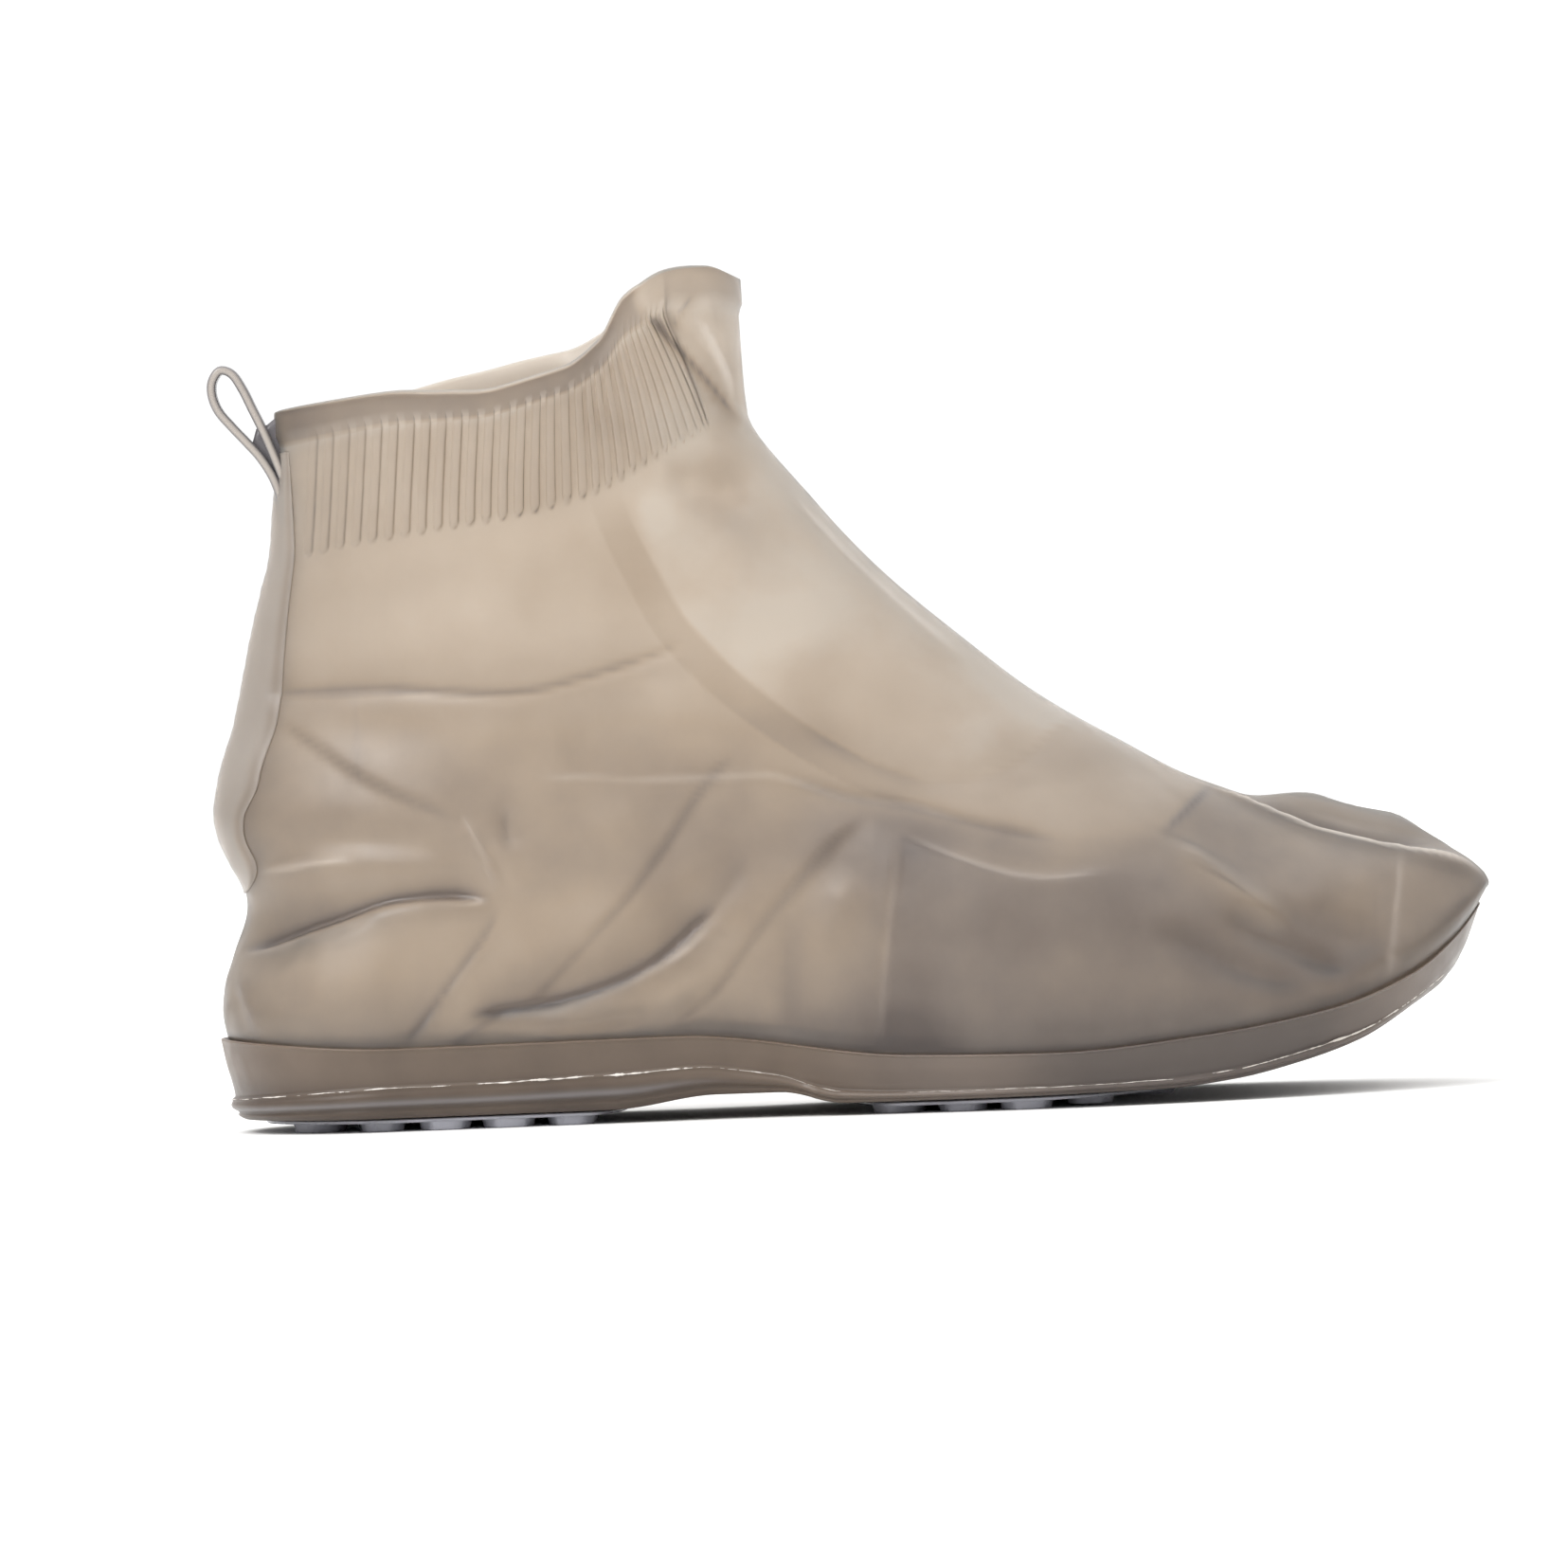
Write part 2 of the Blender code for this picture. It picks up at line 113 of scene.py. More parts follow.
# smooth curve through a table's column, with no overshoot between its rows
def curveThrough(table, key, column, where):
    knots = np.array(table[key], float)
    values = np.array(table[column], float)
    step = np.diff(knots)
    rise = np.diff(values) / step
    slope = np.concatenate([rise[:1], np.zeros(len(step) - 1), rise[-1:]])
    sameWay = rise[:-1] * rise[1:] > 0
    harmonic = 2 * rise[:-1] * rise[1:] / np.where(sameWay, rise[:-1] + rise[1:], 1)
    slope[1:-1] = np.where(sameWay, harmonic, 0)
    at = np.clip(np.searchsorted(knots, where) - 1, 0, len(step) - 1)
    t = np.clip((where - knots[at]) / step[at], 0, 1)
    start = values[at] + t * t * (3 - 2 * t) * (values[at + 1] - values[at])
    return start + t * (1 - t) * ((1 - t) * slope[at] - t * slope[at + 1]) * step[at]


def halfWidthAt(x):
    return curveThrough(shoe["plan"], "share", "halfWidth", x / shoe["length"])


def middleAt(x):
    return curveThrough(shoe["plan"], "share", "middle", x / shoe["length"])


def undersideAt(x):
    return curveThrough(shoe["underside"], "x", "z", x)


# 1 along a ring's middle, falling to 0 at both ends like an ellipse
def endRound(share, backArc, frontArc, pinch):
    back = np.clip(1 - share / backArc, 0, 1)
    front = np.clip((share - 1) / frontArc + 1, 0, 1)
    return np.sqrt(1 - back**2) * (1 - pinch * back**2) * np.sqrt(1 - front**2)


# outer face of the upper: turn 0 at the heel's back, 0.25 on the camera's side, 0.5 at the toe
def upperPoint(rise, turn):
    rise, turn = np.broadcast_arrays(np.asarray(rise, float), np.asarray(turn, float))
    angle = 2 * math.pi * turn
    share = (1 - np.cos(angle)) / 2
    side = -np.sign(np.sin(angle))
    levels = shoe["levels"]
    row = {name: curveThrough(levels, "rise", name, rise) for name in levels if name != "rise"}
    x = mix(row["backX"], row["frontX"], share)
    toeShare = (x - levels["backX"][0]) / (levels["frontX"][0] - levels["backX"][0])
    sag = mix(levels["backZ"][0], levels["frontZ"][0], toeShare)
    sag = sag - curveThrough(shoe["foxingLine"], "x", "z", x)
    follow = np.clip(1 - rise / shoe["sagEnd"], 0, 1) ** 2
    mouth = np.clip((rise - shoe["mouthFrom"]) / (1 - shoe["mouthFrom"]), 0, 1)
    z = mix(row["backZ"], row["frontZ"], share) - sag * follow
    far = np.where(side > 0, 1, 0)
    z = z + mouth * curveThrough(shoe["collarWave"], "share", "lift", share)
    z = z + mouth * far * curveThrough(shoe["collarWave"], "share", "farLift", share)
    fullness = mix(halfWidthAt(x) / shoe["ballHalfWidth"], 1, row["shaft"]) * row["halfWidth"]
    y = side * fullness * endRound(share, row["backArc"], row["frontArc"], row["pinch"])
    return np.stack([x, y + middleAt(x) * (1 - row["shaft"]), z], axis=-1)


def unit(vectors):
    return vectors / np.maximum(np.linalg.norm(vectors, axis=-1, keepdims=True), 1e-9)


def upperNormal(rise, turn):
    step = 0.002
    up = upperPoint(np.clip(rise + step, 0, 1), turn) - upperPoint(np.clip(rise - step, 0, 1), turn)
    along = upperPoint(rise, turn + step) - upperPoint(rise, turn - step)
    return unit(np.cross(along, up))


# one side of a ring: turns from the back to the front, and the share of its length walked there
def halfGirth(rise, far):
    along = np.linspace(0, 0.5, 500)
    points = upperPoint(rise, 1 - along if far else along)
    length = np.concatenate([[0], np.cumsum(np.linalg.norm(np.diff(points, axis=0), axis=1))])
    return along, length / length[-1]


# turns that share each half ring's length alike, so that columns run up the wall
def evenTurns(rises, nearGirth, farGirth):
    turns = np.empty((len(rises), len(nearGirth) + len(farGirth)))
    for index, rise in enumerate(rises):
        along, length = halfGirth(rise, False)
        farAlong, farLength = halfGirth(rise, True)
        turns[index] = np.concatenate([
            np.interp(nearGirth, length, along), 1 - np.interp(farGirth, farLength, farAlong)])
    return turns


def toMetres(points):
    return (np.asarray(points, float) - np.array([shoe["length"] / 2, middleY, 0])) * mm


def meshPiece(name, points, faces):
    mesh = bpy.data.meshes.new(name)
    mesh.from_pydata(toMetres(points).tolist(), [], faces)
    mesh.validate()
    mesh.shade_smooth()
    piece = bpy.data.objects.new(name, mesh)
    bpy.context.scene.collection.objects.link(piece)
    return piece


def storeValues(piece, name, values, kind="FLOAT"):
    layer = piece.data.attributes.new(name, kind, "POINT")
    field = "vector" if kind == "FLOAT_VECTOR" else "value"
    layer.data.foreach_set(field, np.asarray(values, np.float32).ravel())


# quads between stacked closed rings
def tubeFaces(ringCount, columns, start=0):
    ring, column = np.meshgrid(np.arange(ringCount - 1), np.arange(columns), indexing="ij")
    low = start + ring * columns
    after = (column + 1) % columns
    quads = np.stack([low + column, low + after, low + columns + after, low + columns + column], axis=-1)
    return quads.reshape(-1, 4).tolist()


# adds a node: each input is given a value, or the node or socket that feeds it
def addNode(tree, kind, inputs=None, **settings):
    node = tree.nodes.new(kind)
    for name, value in settings.items():
        setattr(node, name, value)
    for socket, value in (inputs or {}).items():
        source = value.outputs[0] if isinstance(value, bpy.types.Node) else value
        if isinstance(source, bpy.types.NodeSocket):
            tree.links.new(source, node.inputs[socket])
        else:
            node.inputs[socket].default_value = value
    return node


# an empty Geometry Nodes tree with a geometry in and out and named inputs, listed by kind
def newTree(name, **inputs):
    tree = bpy.data.node_groups.new(name, "GeometryNodeTree")
    tree.interface.new_socket("Geometry", in_out="INPUT", socket_type="NodeSocketGeometry")
    for kind, labels in inputs.items():
        for label in labels:
            tree.interface.new_socket(label, in_out="INPUT", socket_type="NodeSocket" + kind)
    tree.interface.new_socket("Geometry", in_out="OUTPUT", socket_type="NodeSocketGeometry")
    return tree, addNode(tree, "NodeGroupInput").outputs


# gives a piece the mesh that a tree makes of it
def runTree(piece, tree, settings):
    modifier = piece.modifiers.new(tree.name, "NODES")
    modifier.node_group = tree
    for item in tree.interface.items_tree:
        if item.in_out == "INPUT" and item.name in settings:
            modifier[item.identifier] = settings[item.name]
    graph = bpy.context.evaluated_depsgraph_get()
    made = bpy.data.meshes.new_from_object(
        piece.evaluated_get(graph), preserve_all_data_layers=True, depsgraph=graph)
    piece.modifiers.remove(modifier)
    piece.data = made
    made.name = piece.name


# Folds of the slack upper, placed in the side view in mm, each path from the heel towards the toe
# or from below up. depth: minus is a trough, plus a ridge. left and right: its width on each side of the
# path, left being above a path that runs to the toe. sharp: 1 is a knife fold, 2 a soft swell.
# tint: what the fold adds to the wall's depth of colour. Plus is painted shade along its trough, where
# the wall also lies doubled; minus paints it paler, mostly a highlight along a crest.
def fold(depth, left, right, sharp, tint, *path):
    return dict(depth=depth, left=left, right=right, sharp=sharp, tint=tint, path=softPath(path))


# Edges where the wall drops from one side of a path to the other, as where a roll lies on a fold.
# height: how much the left side stands above the right one; left and right: how far that reaches.
# tint: a line of painted shade along the drop, or with minus a painted highlight
def edge(height, left, right, tint, *path):
    return dict(height=height, left=left, right=right, tint=tint, path=softPath(path))


def softPath(path, steps=4):
    knots = np.array(path, float)
    before = np.vstack([2 * knots[0] - knots[1], knots[:-1]])
    after = np.vstack([knots[1:], 2 * knots[-1] - knots[-2]])
    slope = (after - before) / 2
    t = (np.arange(steps) / steps)[None, :, None]
    start, end = knots[:-1, None], knots[1:, None]
    bend = start + (end - start) * t * t * (3 - 2 * t)
    bend = bend + slope[:-1, None] * t * (1 - t) ** 2 - slope[1:, None] * t * t * (1 - t)
    return np.vstack([bend.reshape(-1, 2), knots[-1:]])


nearFolds = {
    # heel: a ledge over the roll, the roll, and the deep fold under it
    "heelLedge": fold(-1.1, 5.0, 3.4, 2.0, -0.06, (11, 60.5), (15.7, 62.2), (28.2, 63.6), (44.7, 62.2),
        (58, 57.6)),
    "heelLip": fold(0.7, 0.9, 4.0, 1.3, -0.22, (9, 56.4), (11.4, 57.3), (17.2, 57.7), (24.7, 58.7),
        (33, 58.6)),
    "heelFold": fold(-2.9, 5.0, 1.1, 1.25, 0.78, (4, 39.6), (9.4, 41.4), (13, 42.6), (19.8, 44.8),
        (28.5, 47.2), (37.2, 49.9), (45.7, 50.8), (54, 50.6), (61.9, 49.8)),
    "heelLower": fold(0.8, 8.0, 9.0, 2.0, -0.03, (16, 30), (30, 31), (44, 34)),
    "heelSheen": fold(-0.5, 1.0, 1.2, 2.0, -0.08, (22, 42.6), (29, 44.6), (36, 47)),
    # where the rolls of heel and side meet
    "dimpleRidge": fold(1.4, 1.2, 2.0, 1.3, -0.16, (55.5, 68), (56.9, 65.9), (60.3, 58.4), (62.5, 50.2)),
    "dimpleLight": fold(0.6, 3.2, 3.2, 2.0, -0.06, (61, 64), (66, 57), (71.5, 49.8)),
    "dimpleLine": fold(-0.9, 1.2, 3.6, 1.3, 0.16, (65.6, 59), (65, 63), (65, 66.5), (65.8, 70)),
    # side: the long sweep up from the waist, and thin folds beside it
    "sweepFold": fold(-1.8, 4.8, 1.5, 1.25, 0.74, (54, 24.9), (61.1, 25.5), (73.1, 26.9), (80.6, 28.7),
        (87.3, 30.7), (93.3, 33.4), (99.4, 37.2), (105.5, 42.5), (110.2, 47.5)),
    "sweepFade": fold(-0.8, 4.0, 2.6, 1.8, 0.16, (94, 33.8), (99.4, 37.2), (105.5, 42.5), (110.2, 47.5),
        (114, 52.6), (117.5, 60)),
    "sweepRoll": fold(0.9, 6.0, 5.0, 2.0, 0.0, (72, 36), (86, 41), (98, 50), (106, 60)),
    "shortLower": fold(-0.9, 5.5, 0.9, 1.25, 0.34, (40.6, 17.6), (44, 22), (51.9, 32), (60.3, 42.8),
        (63, 49)),
    "lowRoll": fold(0.9, 3.0, 3.0, 2.0, 0.0, (66, 21.0), (82, 22.5), (96, 25.5)),
    # ankle and instep
    "ankleFold": fold(-1.2, 7.0, 1.8, 1.25, 0.46, (12, 95.6), (17.8, 95.6), (41.9, 95.5), (66.6, 93.8),
        (82.5, 96.5), (98, 100.8), (106, 104)),
    "instepCrescent": fold(-1.1, 5.5, 2.0, 1.5, 0.22, (128.5, 85.2), (145.1, 75.2), (155.3, 72.1),
        (169, 72.5), (179.4, 77.2), (186, 82)),
    "bodyFold": fold(-1.0, 1.4, 5.0, 1.3, 0.24, (124, 73.6), (138.1, 68.8), (153.4, 66), (168, 61.6),
        (186, 57)),
    "waistBand": fold(-0.5, 3.0, 3.0, 2.0, 0.16, (124.0, 16), (124.6, 21), (125.4, 38), (126, 50)),
    # toe
    "toeRidge": fold(2.0, 3.0, 3.6, 1.8, -0.24, (206, 56), (215.6, 49.9), (224.2, 43.2), (236, 37)),
    "toeTrough": fold(-2.2, 3.2, 3.4, 1.8, 0.20, (219, 40), (232.2, 33.7), (239.7, 30.1), (250, 26)),
    "toeTroughUp": fold(-1.4, 3.0, 3.5, 2.0, 0.10, (226, 44), (236, 39), (247, 33.5), (256, 30)),
    "toeLow": fold(-1.5, 3.0, 3.4, 1.8, 0.15, (204, 38.5), (218, 31.2), (226.7, 26.9), (239, 24.5)),
    "toePuff": fold(1.3, 7.0, 6.0, 2.0, -0.08, (236, 47), (254, 42)),
    # collar
    "collarHollow": fold(-1.0, 1.6, 5.0, 1.8, 0.0, (118, 160), (113, 167), (108, 173), (104, 180)),
    "collarDent": fold(-1.2, 4.0, 4.5, 2.0, 0.03, (86, 152), (89.5, 163), (90.5, 172)),
    "flapLine": fold(-0.6, 0.7, 0.9, 1.3, 0.62, (105.1, 169.7), (105.8, 171.6), (107.6, 174.5),
        (109, 177.1), (109.4, 180)),
    "flapRibA": fold(-0.5, 0.7, 0.7, 1.3, 0.50, (102.6, 169.6), (104.4, 173), (106.4, 177)),
    "flapRibB": fold(-0.5, 0.7, 0.7, 1.3, 0.50, (101.2, 171.2), (102.4, 173.6), (103.8, 176.4)),
    "flapEdge": fold(0.5, 0.8, 0.8, 1.3, -0.55, (108.9, 174.8), (112.4, 171.1), (115, 165.7),
        (116.8, 159.8), (117.6, 155)),
    "shinDent": fold(-1.5, 4.0, 4.0, 2.0, 0.08, (102, 140.5), (111, 138), (121, 134.5)),
    # soft swells and hollows between the folds
    "shaftHollow": fold(-1.0, 11.0, 11.0, 2.0, -0.08, (36, 113), (72, 115)),
    "instepSwell": fold(1.2, 12.0, 12.0, 2.0, -0.06, (108, 116), (124, 104), (140, 92)),
    "midHollow": fold(-1.2, 8.0, 8.0, 2.0, 0.06, (76, 83), (104, 81)),
    "midSwell": fold(1.2, 7.0, 7.0, 2.0, -0.05, (82, 60), (98, 68)),
    "waistSwell": fold(1.0, 5.0, 5.0, 2.0, -0.05, (130, 30), (136, 42), (140, 54)),
}
nearEdges = {
    "heelBase": edge(-1.2, 6.0, 6.0, 0.14, (9.8, 19.5), (8.2, 24), (6.0, 30), (3.9, 36)),
    "thinDiagonal": edge(0.7, 5.0, 5.0, 0.18, (66, 24.5), (71.7, 29.7), (84.8, 42.5), (91.7, 49.7),
        (100, 60.5), (108.1, 72.1), (117, 80.5)),
    "lowDiagonal": edge(0.6, 4.0, 4.0, 0.20, (50, 17.4), (52, 18.7), (61.1, 24.3), (65, 26.4)),
    "stripDiagonal": edge(0.7, 6.0, 6.0, 0.12, (14.5, 91.5), (16.8, 89.5), (31.3, 78.9), (41, 73.2),
        (55.7, 66.4)),
    "bodySeam": edge(0.5, 3.0, 3.0, -0.14, (70, 76), (90, 74.5), (108.4, 73.9), (119.6, 74.4),
        (128, 72.3), (138.1, 68.6), (153.4, 66.3), (165.1, 62.4)),
    "waistFold": edge(0.9, 6.0, 6.0, 0.14, (96, 18.5), (98, 19.8), (108.7, 27.7), (114.1, 34.8),
        (121.9, 44.2), (134, 57.2), (143.5, 66)),
    "panelEdge": edge(0.5, 4.0, 4.0, -0.08, (143.4, 12), (144.6, 24.3), (146.6, 40.1), (148.8, 52.7),
        (149.6, 60.4)),
    "forefootFold": edge(-0.6, 4.0, 4.0, -0.18, (150.0, 60.4), (156, 57.8), (162.3, 54.9), (173.4, 50.9),
        (184, 49.7), (196, 51.2)),
    "vampStep": edge(-0.5, 2.5, 2.5, 0.36, (206, 56.6), (208.5, 59.1), (214, 63.8), (219.6, 68.4)),
    "toeLine": edge(0.4, 4.0, 4.0, -0.20, (254.6, 22), (255.4, 28.5), (256.8, 37.3), (259.3, 53.8)),
    "vampFold": edge(1.0, 3.0, 3.0, -0.10, (166, 98), (159.3, 103.6), (148.3, 113.7), (136.3, 126.6),
        (128.4, 137)),
    "collarFold": edge(1.0, 5.0, 4.0, 0.75, (119.5, 149), (117, 153), (110.7, 161.6), (104.8, 168.4),
        (99.6, 174.6), (97.5, 178)),
    "shaftLine": edge(0.2, 3.0, 3.0, 0.08, (33.5, 71), (33.2, 84), (32.8, 98)),
}
# the side away from the camera, not seen in the photo: folds of the same kind where a slack wall gives
farFolds = {
    "heelLedge": fold(-2.0, 5.0, 3.4, 2.0, -0.06, (10, 60), (26, 62), (42, 61), (54, 57)),
    "heelFold": fold(-3.2, 5.0, 1.2, 1.25, 0.36, (4, 41), (12, 43.6), (24, 47), (38, 50), (52, 49.5)),
    "sweepFold": fold(-2.8, 5.0, 1.4, 1.25, 0.36, (57, 26.4), (74, 28.5), (90, 33), (102, 42),
        (110, 53)),
    "ankleFold": fold(-1.8, 7.0, 1.1, 1.25, 0.14, (13, 93), (36, 93.5), (62, 92), (84, 96), (100, 102)),
    "instepHollow": fold(-1.3, 4.0, 6.0, 1.8, 0.10, (128, 84), (150, 75), (170, 72), (188, 79)),
    "toeTrough": fold(-1.7, 3.5, 4.0, 1.8, 0.08, (216, 44), (230, 36), (246, 28)),
    "toeRidge": fold(1.4, 3.0, 4.0, 2.0, -0.08, (212, 52), (226, 44), (240, 37)),
    "collarDent": fold(-1.8, 4.5, 4.5, 2.0, 0.08, (84, 150), (88, 162), (89, 174)),
    "shaftHollow": fold(-1.3, 11.0, 11.0, 2.0, -0.06, (42, 116), (76, 112)),
    "midSwell": fold(1.5, 8.0, 8.0, 2.0, 0.0, (80, 66), (104, 74)),
}
farEdges = {
    "waistFold": edge(1.4, 8.0, 8.0, 0.18, (104, 20), (116, 34), (126, 48), (140, 62)),
    "thinDiagonal": edge(1.0, 6.0, 6.0, 0.18, (72, 30), (84, 44), (94, 60), (108, 74)),
    "panelEdge": edge(0.6, 5.0, 5.0, -0.10, (143, 12), (145, 26), (147, 42), (149, 58)),
    "forefootFold": edge(-0.8, 5.0, 5.0, -0.25, (150, 60), (168, 52), (184, 50), (200, 53), (212, 61),
        (219, 68)),
    "stripDiagonal": edge(1.2, 7.0, 7.0, 0.12, (18, 86), (34, 76), (52, 67)),
    "collarFold": edge(1.2, 6.0, 5.0, 0.30, (119.5, 151), (116, 157), (110, 165), (104, 173),
        (101, 179)),
}

# the toe's top, drawn in plan with y away from the camera: a sharp near crest, a hollow and the far hump
topFolds = {
    "toeCrest": fold(1.3, 1.3, 2.2, 1.35, -0.75, (217, -5), (226, -8), (238, -10), (252, -10), (264, -7),
        (273, -1), (277.5, 3)),
    "toeHollow": fold(-2.4, 3.5, 3.0, 2.0, 0.30, (222, -1), (234, -3), (248, -4), (260, -2), (268, 2)),
    "toeHump": fold(5.8, 8.0, 6.0, 2.0, -0.60, (224, 9), (235, 10), (248, 11), (262, 11), (273, 8)),
}


# distance to a path, plus on its left, and how far along it the nearest place is, 0 to 1
def beside(path, x, z):
    best = np.full(x.shape, 1e9)
    left = np.ones(x.shape)
    along = np.zeros(x.shape)
    spans = np.diff(path, axis=0)
    lengths = np.linalg.norm(spans, axis=1)
    walked = 0.0
    for corner, span, length in zip(path[:-1], spans, lengths):
        dx, dz = x - corner[0], z - corner[1]
        t = np.clip((dx * span[0] + dz * span[1]) / length**2, 0, 1)
        gap = np.hypot(dx - t * span[0], dz - t * span[1])
        closer = gap < best
        best = np.where(closer, gap, best)
        left = np.where(closer, np.where(span[0] * dz - span[1] * dx < 0, -1, 1), left)
        along = np.where(closer, walked + t * length, along)
        walked += length
    return best * left, along, walked


foldLook = {
    "reach": 3.2,           # widths beside its path that a fold can be felt
    "runOut": 9.0,          # a fold fades over this length at its ends
    "fadeShare": 0.35,      # but over no more than this share of its length
    "endSlack": -0.5,
    "swell": 2.0,           # sharpness of a soft swell, which fades over its whole share
    "lineUnder": 1.4,       # below this sharpness a fold has a line of its own
    "edgeStep": 1.3,        # mm over which an edge drops
    "edgeSheen": 0.7,       # widths of the painted highlight and shade lines along edges and folds, mm
    "edgeLine": 1.05,
    "foldSheen": 0.8,
    "foldLine": (1.4, 0.8),
    "lineShare": 0.65,
    "softShare": 0.35,
}


# depth, tint and pale lines that a table of folds and one of edges give to places seen from the side:
# tint is mostly painted shade along troughs and drops, the pale lines are painted highlights along crests
# and edges.
def foldField(folds, edges, x, z):
    depth = np.zeros(x.shape)
    tint = np.zeros(x.shape)
    frost = np.zeros(x.shape)
    look = foldLook
    for row in [*folds.values(), *edges.values()]:
        path = row["path"]
        reach = look["reach"] * max(row["left"], row["right"])
        low, high = path.min(axis=0) - reach, path.max(axis=0) + reach
        close = (x > low[0]) & (x < high[0]) & (z > low[1]) & (z < high[1])
        gap, along, total = beside(path, x[close], z[close])
        fade = look["fadeShare"] * total
        if row.get("sharp") != look["swell"]:
            fade = min(look["runOut"], fade)
        ends = smooth(look["endSlack"], fade, along) * smooth(look["endSlack"], fade, total - along)
        width = np.where(gap > 0, row["left"], row["right"])
        if "height" in row:
            step = np.clip(gap / look["edgeStep"], -1, 1) * bell(gap, 0, width) / 2
            depth[close] += row["height"] * step * ends
            # a minus tint paints a pale highlight line along the edge, a plus one a dark line of painted
            # shade
            if row["tint"] < 0:
                frost[close] -= row["tint"] * bell(gap, 0, look["edgeSheen"]) * ends
            else:
                tint[close] += row["tint"] * bell(gap, 0, look["edgeLine"]) * ends
        else:
            soft = np.exp(-np.abs(gap / width) ** row["sharp"])
            depth[close] += row["depth"] * soft * ends
            # a soft fold darkens or pales its whole width; a sharp one gets a painted highlight on a crest
            # or a painted shade line in its trough
            if row["sharp"] >= look["lineUnder"]:
                tint[close] += row["tint"] * soft * ends
            elif row["tint"] < 0:
                frost[close] -= row["tint"] * bell(gap, 0, look["foldSheen"]) * ends
            else:
                line = bell(gap, 0, np.where(gap > 0, *look["foldLine"]))
                tint[close] += row["tint"] * (look["lineShare"] * line + look["softShare"] * soft) * ends
    return depth, tint, frost


# slow waves that keep a slack wall from looking drawn with a ruler
def slackWaves(points, size, seed):
    dice = np.random.default_rng(seed)
    waves = np.zeros(points.shape[:-1])
    for _ in range(upperBuild["waveCount"]):
        way = unit(dice.normal(size=3)) * (2 * math.pi / (size * dice.uniform(*upperBuild["waveSpread"])))
        waves += np.sin(points @ way + dice.uniform(0, 2 * math.pi))
    return waves / math.sqrt(upperBuild["waveCount"])


upperBuild = {
    # rings are closest where the folds and the ribs' feet are
    "ringRise": [0.0, 0.36, 0.56, 0.66, 0.745, 0.82, 0.946, 1.0],
    "ringCount": [62, 22, 12, 6, 25, 9, 6],
    "innerStep": 3,     # the inner wall takes every third ring and column
    "wall": 1.4,
    "hemWall": 2.0,
    "edgeWall": 0.45,   # share of the wall left where it turns away from the side view
    "flapWall": 0.5,    # and on the collar's front flap
    "humpWall": 0.5,    # and on the far half of the toe's top
    "waveSize": 46.0,
    "waveDepth": 0.45,
    "waveCount": 9,
    "waveSpread": (0.7, 1.5),
    "waveSeed": 11,
    "ribbed": (0.78, 0.84),     # rise over which the ribs take hold
    "ribbedCalm": 0.7,          # share of the waves lost there
    "calm": (0.0, 0.03),        # rise over which folds start above the sole
    "facing": (-0.02, 0.10),    # how far a wall faces one side to show that side's folds
    "topFacing": (0.25, 0.6),   # or faces up to show the toe's
    "topFrom": (205, 220),
    "edgeFacing": (0.7, 0.0),
    "edgeFrom": (0.1, 0.25),
    "humpFacing": (-0.3, 0.0),
    "humpFrom": (215, 228),
    "hemSoft": 0.01,
    "rimAngles": [35, 70, 105, 140],
    "rimFlat": 0.6,
    "skirtDrop": 5.0,   # how deep the wall runs into the sole tray
    "skirtIn": 2.6,
}
ribs = {
    "Rib count": 31.0,
    "Rib height": 0.9 * mm,
    "Rib width": 0.56,      # share of the pitch
    "Rib edge": 0.07,
    "Foot round": 0.02,
    "Foot slope": 0.004,
    "Lit flank": 0.3,       # how dark a rib's back flank looks beside its front one
    "Back height": 0.4,     # share left of the ribs beside the heel strip
    "Front height": 0.5,    # and of those under the collar's fold
    "Hem foot": 0.95,
}
# where the ribs stand, side view in mm: they lean with the wall, and fan in under the collar's fold
ribRows = {
    "from": 0.752,
    "grownBy": 13.0,        # rib by which they have their full height, then those between which they ebb
    "ebb": (21.0, 30.0),
    "hemSlope": 0.012,
    "flankTurn": 0.1,
    "rib": [-4, 0, 7, 14, 17.6, 21, 24, 27, 29, 40],
    "footX": [15.0, 21.8, 47.3, 72.2, 84.8, 94.5, 102.7, 109.4, 113.5, 129.0],
    "hemX": [18.2, 24.5, 49.5, 73.7, 84.8, 91.5, 95.8, 99.1, 101.3, 120.0],
    # columns of the mesh in one pitch, closest on a rib's flanks, then how many lie behind the ribs
    # and how many before them
    "near": ([0.0, 0.10, 0.185, 0.22, 0.255, 0.40, 0.60, 0.745, 0.78, 0.815, 0.90], 14, 33),
    "far": ([0.0, 0.2, 0.3, 0.7, 0.8], 7, 19),
}
ribFoot = {"girth": [0.0, 0.12, 0.30, 0.50, 0.60, 0.69, 0.80, 0.88, 1.0],  # rise where the ribs start
           "rise": [0.776, 0.776, 0.768, 0.760, 0.764, 0.778, 0.793, 0.806, 0.812]}
# what makes the wall deeper in colour: share of the finish's colour range
shade = {
    "wall": 0.15,
    "forefootWall": 0.30,
    "lipLine": 0.20,        # shadow where the wall leaves the sole
    "forefoot": 0.28,       # soft darkening before the instep
    "ball": 0.13,           # the panel in it, with crisp edges
    "toe": -0.14,           # against the forefoot
    "innerBand": 0.17,
    "instepPanel": -0.14,
    "hem": 0.50,
    "farHem": -0.12,
    "hemLine": -0.16,
    "collarFront": 0.02,
    "turnedAway": -0.16,    # light along the instep's outline
}
